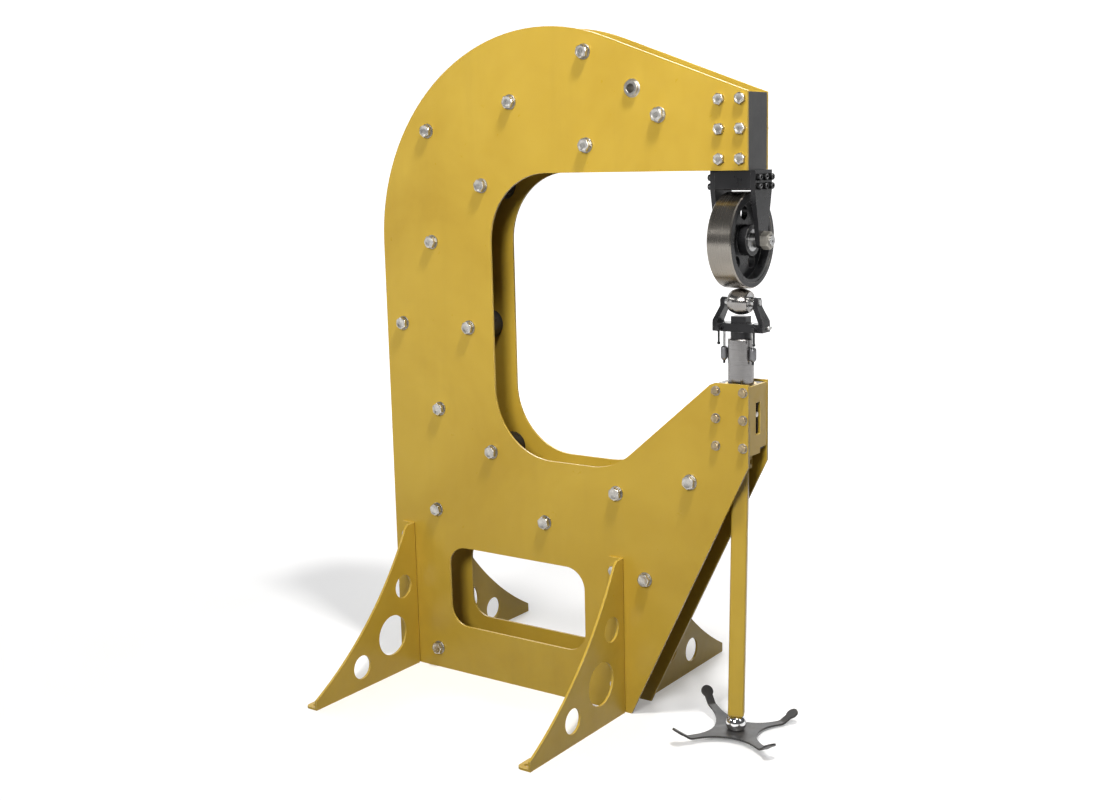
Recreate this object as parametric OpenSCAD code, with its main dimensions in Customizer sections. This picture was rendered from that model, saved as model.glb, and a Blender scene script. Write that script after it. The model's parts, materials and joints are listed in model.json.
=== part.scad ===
// English wheel: a C frame of two bolted side plates, a yoke with the flat upper wheel,
// a crowned anvil on a screw-driven post, and a kick wheel just above the floor.
// X runs from the spine towards the wheels, Y across the frame and Z up from the floor.
// The origin is on the floor, in the middle of the four floor bolt holes.

/* [Frame] */
// Throat depth, from the axis of the post to the back of the throat
throat_depth = 711; // [660:1:780]
// Depth of the spine, from the back of the throat to the rear edge
spine_depth = 374; // [350:1:400]
// Height over the top of the frame
frame_height = 1762; // [1745:1:1790]
// Radius of the rounded back at the top
back_radius = 545; // [530:1:560]
// Height of the upper arm's underside
arm_underside = 1400; // [1385:1:1410]
// Height of the upper nose, above the underside of the arm
upper_head_height = 180; // [172:1:195]
// Upper nose, forward of the post's axis
upper_nose = 44; // [40:1:46]
// Lower nose, forward of the post's axis
lower_nose = 47; // [46.5:0.5:55]
// Height of the throat's floor
throat_floor = 650; // [630:1:670]
// Radius of the throat's corners
throat_radius = 180; // [150:1:190]
// Height of the lower head's top
lower_head_top = 897; // [890:1:905]
// Height of the lower head's front edge
lower_head_height = 200; // [190:1:210]
// Flat top of the lower head, behind the post's axis
lower_head_back = 50; // [40:1:60]
// Slope of the lower head's back edge, in degrees
head_slope = 40.7; // [38:0.1:44]
// Chamfer where that slope meets the head's top
slope_chamfer = 8; // [2:1:14]
// Front edge at the floor, behind the post's axis
toe_back = 292; // [280:1:310]
// Thickness of each side plate
plate_t = 6; // [5:0.5:8]
// Space between the side plates
plate_gap = 93.2; // [90:0.2:110]
// Front edge of the window, behind the post's axis
window_front = 433; // [415:1:450]
// Length of the window
window_length = 457; // [400:1:470]
// Height of the window's lower edge
window_bottom = 138.5; // [125:0.5:150]
// Height of the window
window_height = 230; // [200:1:240]
// Radius of the window's corners
window_radius = 57; // [40:1:80]

/* [Frame bolts] */
// Thread size of the frame bolts
frame_bolt_d = 20; // [16:1:22]
// Outside diameter of the spacers between the plates
spacer_d = 78; // [60:1:80]
// Thickness of the washers
washer_t = 3; // [2:0.5:4]
// Thread size of the upper head's bolts
head_bolt_d = 16; // [12:1:18]
// Thread size of the lower head's screws
guide_screw_d = 12; // [10:1:13]
// Length of the lower head's screws under their heads
guide_screw_length = 25; // [18:1:28]
// Bore of the lifting bush
lift_bore = 22; // [16:1:30]
// Outside diameter of the lifting bush
lift_bush_d = 45; // [38:1:50]
// How far the lifting bush stands out of each plate
lift_bush_proud = 9; // [4:1:14]

/* [Feet] */
// Distance between the front and rear feet
foot_spacing = 703.5; // [690:0.5:715]
// Rear foot, forward of the frame's rear edge
foot_inset = 72; // [60:1:90]
// Height of each foot
foot_height = 419; // [400:1:430]
// Outer end of each foot, from the middle of the frame
foot_reach = 480; // [460:1:520]
// Thickness of the feet
foot_t = 6; // [5:0.5:8]
// Width of the flange and of the floor tab behind each web
foot_flange = 42; // [40:1:50]
// Width of the web at its top
foot_top = 43; // [36:1:50]
// Height of the web at its outer end
foot_end = 26; // [20:1:34]
// Radius of the web's hollow edge
foot_hollow = 950; // [800:10:1500]
// Length of the floor tab
foot_tab = 56; // [48:1:70]
// Floor bolt holes, from the outer end of the foot
anchor_inset = 20; // [18:1:24]
// Floor bolt holes, behind the web's front face
anchor_back = 24; // [20:1:26]
// Diameter of the floor bolt holes
anchor_d = 14; // [10:1:16]
// Thread size of the foot bolts
foot_bolt_d = 16; // [12:1:16]

/* [Yoke and upper wheel] */
// Diameter of the upper wheel
wheel_d = 228.6; // [220:0.1:232]
// Width of the upper wheel's tread
wheel_width = 63.5; // [58:0.1:70]
// Height of the upper wheel's axle
wheel_axle_height = 1236; // [1234:1:1245]
// Radial thickness of the tread ring
tread_t = 14; // [10:1:18]
// Chamfer along both edges of the tread
tread_chamfer = 2.5; // [1:0.5:4]
// Thickness of the web between hub and tread
web_t = 16; // [12:1:24]
// Round windows in the web
web_windows = 5; // [4:1:6]
// Diameter of the windows in the web
web_window_d = 34; // [24:1:36]
// Diameter of the hub
hub_d = 74; // [70:1:78]
// Diameter of the upper axle
upper_axle_d = 25; // [22:1:28]
// Outside diameter of the upper wheel's bearings
upper_bearing_d = 52; // [48:1:56]
// Width of the upper wheel's bearings
upper_bearing_w = 15; // [12:1:18]
// Inside width of the yoke, between its arms
yoke_gap = 94; // [90:1:96]
// Width of the yoke's block across the frame
yoke_width = 87; // [84:1:90]
// Height of the yoke's block
yoke_block_height = 46; // [40:1:48]
// Thickness of the yoke's arms
yoke_arm_t = 12; // [10:1:16]
// Radius of the arms' round ends
yoke_end_radius = 19; // [17:0.5:24]
// Thread size of the yoke's screws
yoke_screw_d = 10; // [8:1:12]
// Length of the axle outside each arm
axle_end = 24; // [22:1:30]

/* [Anvil and cradle] */
// Diameter of the anvil at its crown
anvil_d = 63.5; // [60:0.1:66]
// Width of the anvil
anvil_width = 50.8; // [44:0.1:56]
// Crown radius across the anvil's width
anvil_crown = 51; // [46:1:90]
// Gap between anvil and upper wheel with the post raised
wheel_gap = 0.4; // [0.4:0.1:3]
// Diameter of the anvil's axle
anvil_axle_d = 16; // [12:1:18]
// Outside diameter of the anvil's bearings
anvil_bearing_d = 35; // [32:1:40]
// Width of the anvil's bearings
anvil_bearing_w = 11; // [8:1:14]
// Inside width of the cradle at the anvil's axle
cradle_gap = 76; // [72:1:80]
// Thickness of the cradle's arms
cradle_arm_t = 12; // [10:1:14]
// Outward step of each arm from the axle to its foot
cradle_splay = 17; // [12:1:20]
// Width of the cradle across the frame
cradle_width = 40; // [38:1:46]
// Thickness of the cradle's cross plate
cradle_plate_t = 20; // [16:1:22]
// Diameter of the cradle's boss on the post
cradle_boss_d = 50; // [44:1:56]
// Height of the boss under the cross plate
cradle_boss_height = 17; // [14:1:20]
// Diameter of the levelling knobs
knob_d = 17; // [14:0.5:18]
// Length of the levelling knobs
knob_length = 34; // [28:1:36]
// Length of the clamp levers
lever_length = 36; // [32:1:37]

/* [Post and drive] */
// Diameter of the post
post_d = 63.5; // [60:0.1:66]
// Length of the post
post_length = 195; // [190:1:200]
// Travel of the post below its raised position
travel = 35; // [20:1:35]
// Bore of the post
post_bore = 30; // [28:1:32]
// Outside diameter of the drive screw
screw_d = 25.4; // [22:0.1:26]
// Outside diameter of the nut in the post
nut_d = 44; // [38:1:48]
// Length of the nut in the post
nut_length = 40; // [30:1:50]
// Length of the bronze bush round the post
bush_length = 60; // [50:1:62]
// Wall of the bronze bush
bush_wall = 6; // [4:0.5:8]
// Diameter of the guide pin
guide_pin_d = 13; // [10:1:14]
// Journal of the drive screw
journal_d = 20; // [18:1:22]
// Outside diameter of the swivel socket
socket_d = 55; // [50:1:60]
// Radius of the swivel ball
ball_r = 15; // [13:0.5:16]
// Height of the swivel ball's centre
swivel_height = 700; // [697:1:701]
// Diameter of the cross pin in the swivel
cross_pin_d = 8; // [6:0.5:9]
// Width of the square kick shaft
shaft_w = 40; // [34:1:42]
// Wall of the kick shaft
shaft_wall = 3; // [2:0.5:4]
// Corner radius of the kick shaft
shaft_radius = 6; // [4:0.5:8]
// Turn of the kick shaft about its own axis, in degrees
shaft_turn = 22.8; // [0:0.1:89]
// Lean of the kick shaft from the vertical, in degrees
kick_lean = 2.16; // [0:0.01:2.4]

/* [Kick wheel] */
// Clear height between the floor and the kick wheel's plate
kick_clearance = 9; // [8.5:0.5:20]
// Thickness of the kick wheel's plate
kick_t = 5; // [4:0.5:6]
// Reach of the arms, measured along the plate to the middle of their round ends
kick_reach = 168; // [155:1:175]
// Radius of the arms' round ends
kick_tip_r = 16; // [12:0.5:18]
// Half width of the arms at their necks
kick_neck = 10.5; // [8:0.5:13]
// Radius of the hollows between the arms
kick_hollow = 100; // [90:1:120]
// Distance of the tips' bend line from the kick wheel's axis
kick_tip_bend = 132; // [120:1:136]
// Bend of the tips, in degrees
kick_tip_angle = 33; // [20:1:40]
// Lift of the raised arm, in degrees
kick_far_angle = 14; // [5:1:18]
// Direction of the raised arm, in degrees from the X axis
kick_azimuth = 146.9; // [100:0.1:180]
// Diameter of the kick wheel's hub
kick_hub_d = 52; // [46:1:58]
// Height of the kick wheel's hub
kick_hub_height = 36; // [30:1:42]

/* [Hidden] */

$fn = 64;

paint = [0.78, 0.62, 0.24];
zinc = [0.78, 0.78, 0.77];
steel = [0.62, 0.62, 0.63];
polished = [0.8, 0.8, 0.82];
black = [0.1, 0.1, 0.11];
dark = [0.28, 0.29, 0.3];
bronze = [0.72, 0.5, 0.26];

// Running clearance of a shaft in its hole, on the radius
fit = 0.05;
// Gap that is kept between faces that turn past each other
face_gap = 0.3;
// Overlap that cuts need to run past a face
past = 1;
// How far the straight edges of an arm end inside its round end
arm_overlap = 0.15;

rear_x = -throat_depth - spine_depth;
back_centre = [rear_x + back_radius, frame_height - back_radius];
nose_top = [upper_nose, arm_underside + upper_head_height];
toe_top = lower_head_top - lower_head_height;
half_gap = plate_gap / 2;
outer_y = half_gap + plate_t;
rear_web_x = rear_x + foot_inset;
front_web_x = rear_web_x + foot_spacing;
// Post axis, from the origin
column_x = anchor_back - (rear_web_x + front_web_x) / 2;

// Slope of the lower head, and where it meets the throat's floor
slope_dir = [-cos(head_slope), -sin(head_slope)];
slope_top = [-lower_head_back, lower_head_top];
slope_foot_x = slope_top.x - (lower_head_top - throat_floor) / tan(head_slope);
slope_tangent = throat_radius * tan(head_slope / 2);
slope_circle = [slope_foot_x - slope_tangent, throat_floor + throat_radius];
slope_touch = [slope_foot_x + slope_tangent * cos(head_slope),
  throat_floor + slope_tangent * sin(head_slope)];
back_edge_x = -throat_depth;
throat_centre_x = back_edge_x + throat_radius;

// Frame bolts, as distances from the edges that they stand by. In the upper arm they
// share out its height, and one of them keeps to the rounded back.
arm_height = frame_height - arm_underside;
frame_bolts_at = [
  [back_edge_x + 307, arm_underside + arm_height * 0.81],
  [back_edge_x + 77, arm_underside + arm_height * 0.5],
  [back_edge_x + 519, arm_underside + arm_height * 0.37],
  [back_edge_x + 309, arm_underside + arm_height * 0.185],
  back_centre + [-372, 299],
  [back_edge_x - 23, arm_underside - 30],
  [rear_x + 175, arm_underside - 180],
  [rear_x + 61, throat_floor + 343],
  [back_edge_x - 80, throat_floor + 342],
  [rear_x + 181, throat_floor + 110],
  [back_edge_x - 15, throat_floor + 6],
  [-toe_back - 36, throat_floor - 61],
  [-toe_back + 180, throat_floor - 6],
  [rear_x + 158, throat_floor - 180],
  [-toe_back - 262, throat_floor - 168],
  [-toe_back + 48, throat_floor - 277],
  [rear_x + 145, 59]];
lift_at = [back_edge_x + 445, arm_underside + arm_height * 0.55];
head_bolts_x = [upper_nose - 73, upper_nose - 18];
head_bolt_rise = 27;
head_bolts_z = [for (rise = [head_bolt_rise, 96, 164]) arm_underside + rise];

// Lower head: the guide holds the post, and the thrust plate under it holds the screw
front_plate_x = lower_nose - 1 - plate_t;
guide_back_x = -lower_head_back - 2;
guide_top = lower_head_top - 5;
guide_bottom = guide_top - 130;
thrust_top = guide_bottom - 5;
thrust_t = 28;
thrust_bottom = thrust_top - thrust_t;
guide_screws_x = [guide_back_x + 12, front_plate_x - guide_screw_d / 2 - 1];
guide_screws_z = [(thrust_top + thrust_bottom) / 2, guide_top - 81, guide_top - 14];
guide_bore_r = post_d / 2 + 0.5;
bush_r = post_d / 2 + bush_wall;
guide_slot_height = 78;
front_slot_w = 23;
front_plate_bottom = lower_head_top - 175;

// Upper wheel and yoke
wheel_r = wheel_d / 2;
wheel_at = [0, 0, wheel_axle_height];
yoke_bottom = arm_underside - yoke_block_height;
yoke_in = yoke_gap / 2;
yoke_out = yoke_in + yoke_arm_t;
upper_axle_r = upper_axle_d / 2;
axle_nut_af = upper_axle_d * 1.52;
axle_nut_h = axle_end - 4;
upper_inner_r = upper_axle_r + 6;
yoke_screws_y = [-yoke_width / 2 + 12.5, 0, yoke_width / 2 - 12.5];
yoke_screws_z = [yoke_bottom + 8.5, yoke_bottom + 29.5];
yoke_screw_grip = 16;
yoke_chamfer = 5;
block_screw_d = 12;
block_screw_grip = head_bolt_rise - head_bolt_d / 2 - 3;
block_screw_recess = 14;
yoke_block_screws_at = [for (x = [-18, 18], y = [-26, 26]) [x, y]];

// Anvil, cradle and post, with the post raised
anvil_r = anvil_d / 2;
anvil_height = wheel_axle_height - wheel_r - wheel_gap - anvil_r;
anvil_at = [0, 0, anvil_height];
cradle_top = anvil_height - 51.5;
cradle_bottom = cradle_top - cradle_plate_t;
post_top = cradle_bottom - cradle_boss_height;
post_bottom = post_top - post_length;
cradle_in = cradle_gap / 2;
arm_foot_in = cradle_in + cradle_splay;
arm_foot_out = arm_foot_in + cradle_arm_t;
cradle_end_r = 11;
anvil_inner_r = anvil_axle_d / 2 + 4;
knob_at = [cradle_in + 0.5, -cradle_width / 2 + 7];
knob_stem_r = 3.5;
knob_top = cradle_bottom - 36;
lever_at = [cradle_in + 9, -cradle_width / 2, cradle_bottom + 8];
lever_hub_t = 9;
lever_ball_r = 4;
lever_screw_r = 3;
spigot_length = 25;
guide_pin_z = post_bottom + 12.5;
slot_top = guide_pin_z + 29.5;

// Drive screw
collar_r = 22;
collar_t = 9;
thrust_washer_t = 3;
collar_bottom = thrust_top + thrust_washer_t + face_gap;
screw_top = post_top - spigot_length - travel - 6;
socket_gap = 0.3;
socket_top = thrust_bottom - 2;
swivel_ring_h = 16;
socket_mouth_r = 11;
journal_end_d = 16;
cross_pin_length = socket_d - 9;
slot_half_height = cross_pin_d / 2 + cross_pin_length / 2 * sin(2 * kick_lean) + face_gap;

// Kick shaft, measured down its own axis from the swivel's centre
neck_r = 8;
shaft_start = 20;
cap_t = 6;
kick_plate_bottom = (swivel_height - kick_clearance) / cos(kick_lean);
kick_plate_top = kick_plate_bottom - kick_t;
hub_start = kick_plate_top - kick_hub_height;
shaft_end = hub_start - 6;
plug_lip = 3;
plug_end = hub_start + 14;
kick_bolt_d = 12;
kick_bolt_head_r = 13;
kick_bolt_head_h = 5.5;
kick_hollow_at = (kick_hollow + kick_neck) * sqrt(2);
kick_bend_r = 32;
hollow_centre = kick_hollow + kick_neck;
kick_waist = hollow_centre - sqrt(pow(kick_hollow, 2) - pow(hollow_centre - kick_bend_r, 2));
knuckle_extra = 0.4;

// Everything is drawn about the post's axis and then moved to the origin
module on_column() {
  translate([column_x, 0, 0])
    children();
}

// Hangs its children from the swivel's centre, leaning as the kick shaft does
module on_kick_axis() {
  on_column()
    translate([0, 0, swivel_height])
      rotate([-kick_lean, 0, 0])
        children();
}

// A flat shape drawn in X and Z, t thick, with its near face at y
module upright(y, t) {
  translate([0, y + t, 0])
    rotate([90, 0, 0])
      linear_extrude(t)
        children();
}

// A flat shape drawn in Y and Z, t thick, with its rear face at x
module crosswise(x, t) {
  translate([x, 0, 0])
    rotate([90, 0, 90])
      linear_extrude(t)
        children();
}

// A round bar along X, from x1 to x2
module bar_x(x1, x2, r) {
  translate([x1, 0, 0])
    rotate([0, 90, 0])
      cylinder(h = x2 - x1, r = r);
}

// A round bar along Y, from y1 to y2
module bar_y(y1, y2, r) {
  translate([0, y1, 0])
    rotate([-90, 0, 0])
      cylinder(h = y2 - y1, r = r);
}

// A ring along X, from x1 to x2
module ring_x(x1, x2, r, bore) {
  difference() {
    bar_x(x1, x2, r);
    bar_x(x1 - past, x2 + past, bore);
  }
}

// A hexagon prism of a given width across its flats
module hex_prism(af, h) {
  cylinder(h = h, d = af / cos(30), $fn = 6);
}

// A hexagon head or nut whose edges are turned off at one end
module hex_head(af, h) {
  intersection() {
    hex_prism(af, h);
    union() {
      cylinder(h = h * 0.75, d = af * 1.2);
      translate([0, 0, h * 0.75])
        cylinder(h = h * 0.25, d1 = af * 1.2, d2 = af * 0.96);
    }
  }
}

// Width across the flats of a standard bolt
function flats(d) = 1.5 * d;

// Thickness of a bolt's head, and of its nut
function head_h(d) = 0.63 * d;
function nut_h(d) = 0.8 * d;

// A bolt along Y with its head on the near side: its grip runs from y1 to y2
module bolt_y(d, y1, y2, tail) {
  translate([0, y1, 0])
    rotate([90, 0, 0])
      hex_head(flats(d), head_h(d));
  bar_y(y1, y2 + tail, d / 2);
}

// A hexagon nut along Y, whose seat is at y and whose outside faces side
module nut_y(d, y, side) {
  difference() {
    translate([0, y, 0])
      rotate([-side * 90, 0, 0])
        hex_head(flats(d), nut_h(d));
    bar_y(y - nut_h(d) - past, y + nut_h(d) + past, d / 2);
  }
}

// A washer along Y, from y to y plus its thickness
module washer_y(d, y) {
  difference() {
    bar_y(y, y + washer_t, d * 0.95);
    bar_y(y - past, y + washer_t + past, d / 2);
  }
}

// A socket cap screw along +Z: head from 0 up, shank down to -length
module cap_screw(d, length) {
  difference() {
    union() {
      cylinder(h = d, r = d * 0.78);
      translate([0, 0, -length])
        cylinder(h = length, r = d / 2);
    }
    translate([0, 0, d * 0.45])
      hex_prism(d * 0.8, d);
  }
}

// A square with round corners, centred
module round_square(w, r) {
  union() {
    square([w - 2 * r, w], center = true);
    square([w, w - 2 * r], center = true);
    for (x = [-1, 1], y = [-1, 1])
      translate([x * (w / 2 - r), y * (w / 2 - r)])
        circle(r);
  }
}

// Angle and point where the slanted top meets the round back
back_to_nose = nose_top - back_centre;
top_angle = atan2(back_to_nose.y, back_to_nose.x) + acos(back_radius / norm(back_to_nose));
top_touch = back_centre + back_radius * [cos(top_angle), sin(top_angle)];

// Outline of a side plate before the throat is cut
module frame_outline() {
  translate(back_centre)
    circle(back_radius, $fn = 180);
  polygon([[rear_x, 0], [-toe_back, 0], [lower_nose, toe_top], [lower_nose, lower_head_top],
    [upper_nose, arm_underside], nose_top, top_touch, back_centre, [rear_x, back_centre.y]]);
}

// The throat, which opens to the front between the two heads
module throat_outline() {
  mouth_x = max(upper_nose, lower_nose) + past;
  polygon([[back_edge_x, arm_underside - throat_radius], [back_edge_x, throat_floor + throat_radius],
    [throat_centre_x, throat_floor], [slope_circle.x, throat_floor], slope_touch,
    slope_top + slope_chamfer * slope_dir, slope_top + [slope_chamfer, 0],
    [mouth_x, lower_head_top], [mouth_x, arm_underside], [throat_centre_x, arm_underside]]);
  for (z = [arm_underside - throat_radius, throat_floor + throat_radius])
    translate([throat_centre_x, z])
      circle(throat_radius, $fn = 120);
  translate(slope_circle)
    circle(throat_radius, $fn = 120);
}

// The window near the floor, with round corners
module window_outline() {
  x1 = -window_front - window_length;
  union() {
    translate([x1 + window_radius, window_bottom])
      square([window_length - 2 * window_radius, window_height]);
    translate([x1, window_bottom + window_radius])
      square([window_length, window_height - 2 * window_radius]);
    for (x = [window_radius, window_length - window_radius],
         z = [window_radius, window_height - window_radius])
      translate([x1 + x, window_bottom + z])
        circle(window_radius);
  }
}

// One side plate, with every hole that its bolts pass through
module side_plate(y) {
  upright(y, plate_t)
    difference() {
      frame_outline();
      throat_outline();
      window_outline();
      for (p = frame_bolts_at)
        translate(p)
          circle(frame_bolt_d / 2);
      translate(lift_at)
        circle(lift_bush_d / 2);
      for (x = head_bolts_x, z = head_bolts_z)
        translate([x, z])
          circle(head_bolt_d / 2);
      for (x = guide_screws_x, z = guide_screws_z)
        translate([x, z])
          circle(guide_screw_d / 2);
      for (web = [rear_web_x, front_web_x], z = foot_bolts_z)
        translate([web - foot_bolt_back, z])
          circle(foot_bolt_d / 2);
    }
}

module side_plate_near() {
  color(paint)
    on_column()
      side_plate(-outer_y);
}

module side_plate_far() {
  color(paint)
    on_column()
      side_plate(half_gap);
}

// A spacer round each frame bolt keeps the plates apart
module frame_spacers() {
  color(dark)
    on_column()
      for (p = frame_bolts_at)
        translate([p.x, 0, p.y])
          difference() {
            bar_y(-half_gap, half_gap, spacer_d / 2);
            bar_y(-half_gap - past, half_gap + past, frame_bolt_d / 2);
          }
}

module frame_bolts() {
  color(zinc)
    on_column()
      for (p = frame_bolts_at)
        translate([p.x, 0, p.y])
          bolt_y(frame_bolt_d, -outer_y - washer_t, outer_y + washer_t, nut_h(frame_bolt_d) + 4);
}

module frame_washers() {
  color(zinc)
    on_column()
      for (p = frame_bolts_at, y = [-outer_y - washer_t, outer_y])
        translate([p.x, 0, p.y])
          washer_y(frame_bolt_d, y);
}

module frame_nuts() {
  color(zinc)
    on_column()
      for (p = frame_bolts_at)
        translate([p.x, 0, p.y])
          nut_y(frame_bolt_d, outer_y + washer_t, 1);
}

// A tube through both plates that takes a lifting bar
module lifting_bush() {
  reach = outer_y + lift_bush_proud;
  color(zinc)
    on_column()
      translate([lift_at.x, 0, lift_at.y])
        difference() {
          union() {
            bar_y(-reach, reach, lift_bush_d / 2 - 4);
            bar_y(-outer_y, outer_y, lift_bush_d / 2);
          }
          bar_y(-reach - past, reach + past, lift_bore / 2);
        }
}

// Solid block between the plates' upper noses
module head_block() {
  back = 62;
  color(dark)
    on_column()
      difference() {
        translate([upper_nose - 0.5 - back - upper_nose, -half_gap, arm_underside])
          cube([back + upper_nose, plate_gap, upper_head_height - 2]);
        for (x = head_bolts_x, z = head_bolts_z)
          translate([x, 0, z])
            bar_y(-half_gap - past, half_gap + past, head_bolt_d / 2);
        for (p = yoke_block_screws_at)
          translate([p.x, p.y, arm_underside - past])
            cylinder(h = block_screw_grip + past, r = block_screw_d / 2);
      }
}

module head_bolts() {
  color(zinc)
    on_column()
      for (x = head_bolts_x, z = head_bolts_z)
        translate([x, 0, z])
          bolt_y(head_bolt_d, -outer_y, outer_y, nut_h(head_bolt_d) + 3);
}

module head_nuts() {
  color(zinc)
    on_column()
      for (x = head_bolts_x, z = head_bolts_z)
        translate([x, 0, z])
          nut_y(head_bolt_d, outer_y, 1);
}

// Block that carries the yoke's two arms, screwed up into the head
module yoke_block() {
  color(black)
    on_column()
      difference() {
        translate([-yoke_in, -yoke_width / 2, yoke_bottom])
          cube([yoke_gap, yoke_width, yoke_block_height]);
        for (p = yoke_block_screws_at) {
          translate([p.x, p.y, yoke_bottom - past])
            cylinder(h = yoke_block_height + 2 * past, r = block_screw_d / 2);
          translate([p.x, p.y, yoke_bottom - past])
            cylinder(h = block_screw_recess + past, r = block_screw_d * 0.85);
        }
        for (x = [-1, 1], y = yoke_screws_y, z = yoke_screws_z)
          translate([0, y, z])
            bar_x(x > 0 ? yoke_in - yoke_screw_grip : -yoke_in - past,
              x > 0 ? yoke_in + past : -yoke_in + yoke_screw_grip, yoke_screw_d / 2);
        for (side = [-1, 1])
          translate([0, side * yoke_width / 2, yoke_bottom])
            rotate([45, 0, 0])
              cube([yoke_gap + 2 * past, yoke_chamfer, yoke_chamfer], center = true);
      }
}

module yoke_block_screws() {
  color(steel)
    on_column()
      for (p = yoke_block_screws_at)
        translate([p.x, p.y, yoke_bottom + block_screw_recess])
          rotate([180, 0, 0])
            cap_screw(block_screw_d, yoke_block_height - block_screw_recess + block_screw_grip - 2);
}

// Outline of an arm of the yoke, which narrows to its round end
module yoke_arm_outline() {
  corner = [yoke_width / 2, yoke_bottom - wheel_axle_height];
  lean = atan2(corner.y, corner.x) - acos(yoke_end_radius / norm(corner));
  touch = (yoke_end_radius - arm_overlap) * [cos(lean), sin(lean)];
  translate([0, wheel_axle_height]) {
    circle(yoke_end_radius);
    polygon([[-corner.x, arm_underside - wheel_axle_height], [-corner.x, corner.y],
      [-touch.x, touch.y], [touch.x, touch.y], corner,
      [corner.x, arm_underside - wheel_axle_height]]);
  }
}

module yoke_arm(x) {
  crosswise(x, yoke_arm_t)
    difference() {
      yoke_arm_outline();
      translate([0, wheel_axle_height])
        circle(upper_axle_r);
      for (y = yoke_screws_y, z = yoke_screws_z)
        translate([y, z])
          circle(yoke_screw_d / 2);
    }
}

module yoke_arm_rear() {
  color(black)
    on_column()
      yoke_arm(-yoke_out);
}

module yoke_arm_front() {
  color(black)
    on_column()
      yoke_arm(yoke_in);
}

module yoke_arm_screws() {
  color(black)
    on_column()
      for (side = [-1, 1], y = yoke_screws_y, z = yoke_screws_z)
        translate([side * yoke_out, y, z])
          rotate([0, side * 90, 0])
            cap_screw(yoke_screw_d, yoke_arm_t + yoke_screw_grip - 1);
}

module upper_axle() {
  color(steel)
    on_column()
      translate(wheel_at)
        difference() {
          bar_x(-yoke_out - axle_end, yoke_out + axle_end, upper_axle_r);
          for (side = [-1, 1])
            translate([side * (yoke_out + axle_end), 0, 0])
              rotate([0, side * 90, 0])
                translate([0, 0, -4])
                  cylinder(h = 4 + past, d1 = 4, d2 = 10);
        }
}

module upper_axle_nuts() {
  color(dark)
    on_column()
      translate(wheel_at)
        for (side = [-1, 1])
          difference() {
            translate([side * yoke_out, 0, 0])
              rotate([0, side * 90, 0])
                hex_head(axle_nut_af, axle_nut_h);
            bar_x(-yoke_out - axle_end - past, yoke_out + axle_end + past, upper_axle_r);
          }
}

// Sleeves between the yoke's arms and the bearings
module upper_axle_spacers() {
  color(steel)
    on_column()
      translate(wheel_at) {
        ring_x(-yoke_in, -wheel_width / 2, upper_axle_r + 5, upper_axle_r);
        ring_x(wheel_width / 2, yoke_in, upper_axle_r + 5, upper_axle_r);
      }
}

module upper_bearing_inners() {
  color(steel)
    on_column()
      translate(wheel_at)
        for (side = [-1, 1])
          ring_x(side > 0 ? wheel_width / 2 - upper_bearing_w : -wheel_width / 2,
            side > 0 ? wheel_width / 2 : -wheel_width / 2 + upper_bearing_w,
            upper_inner_r, upper_axle_r);
}

module upper_bearing_outers() {
  color(dark)
    on_column()
      translate(wheel_at)
        for (side = [-1, 1])
          ring_x(side > 0 ? wheel_width / 2 - upper_bearing_w : -wheel_width / 2,
            side > 0 ? wheel_width / 2 : -wheel_width / 2 + upper_bearing_w,
            upper_bearing_d / 2, upper_inner_r + fit);
}

// Polished tread ring with chamfered edges
module upper_wheel_tread() {
  half = wheel_width / 2;
  color(polished)
    on_column()
      translate(wheel_at)
        rotate([0, 90, 0])
          rotate_extrude($fn = 180)
            polygon([[wheel_r - tread_t, -half], [wheel_r - tread_chamfer, -half],
              [wheel_r, -half + tread_chamfer], [wheel_r, half - tread_chamfer],
              [wheel_r - tread_chamfer, half], [wheel_r - tread_t, half]]);
}

// Black centre: hub, web with round windows, and a band inside the tread
module upper_wheel_centre() {
  half = wheel_width / 2;
  band_r = wheel_r - tread_t;
  window_ring_r = (hub_d / 2 + band_r - 8) / 2;
  color(black)
    on_column()
      translate(wheel_at)
        difference() {
          union() {
            ring_x(-half + 1, half - 1, band_r, band_r - 8);
            ring_x(-web_t / 2, web_t / 2, band_r - 4, hub_d / 2 - 4);
            ring_x(-half, half, hub_d / 2, upper_bearing_d / 2);
            ring_x(-half + upper_bearing_w, half - upper_bearing_w, hub_d / 2 - 2, upper_inner_r + 3);
          }
          for (i = [0 : web_windows - 1])
            rotate([90 + i * 360 / web_windows, 0, 0])
              translate([0, window_ring_r, 0])
                bar_x(-web_t, web_t, web_window_d / 2);
        }
}

// Front plate between the lower noses, with the slot that shows the guide pin
module lower_front_plate() {
  step_y = 12;
  step_h = 13;
  color(paint)
    on_column()
      crosswise(front_plate_x, plate_t)
        difference() {
          translate([-half_gap, front_plate_bottom])
            square([plate_gap, guide_top - front_plate_bottom]);
          translate([-front_slot_w / 2, slot_top - guide_slot_height])
            square([front_slot_w, guide_slot_height]);
          translate([step_y, front_plate_bottom - past])
            square([half_gap, step_h + past]);
        }
}

// Short screws into the sides of the guide and of the thrust plate
module guide_screws() {
  color(zinc)
    on_column()
      for (side = [-1, 1], x = guide_screws_x, z = guide_screws_z)
        translate([x, side * outer_y, z])
          rotate([-side * 90, 0, 0]) {
            translate([0, 0, -guide_screw_length])
              cylinder(h = guide_screw_length, r = guide_screw_d / 2);
            cylinder(h = guide_washer_t, r = guide_screw_d);
            translate([0, 0, guide_washer_t])
              hex_head(flats(guide_screw_d), head_h(guide_screw_d));
          }
}

guide_washer_t = 2;

// Holes for the short screws, from outside face to tip
module guide_screw_holes() {
  for (side = [-1, 1], x = guide_screws_x, z = guide_screws_z)
    translate([x, side * outer_y, z])
      rotate([side * 90, 0, 0])
        cylinder(h = guide_screw_length, r = guide_screw_d / 2);
}

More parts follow.
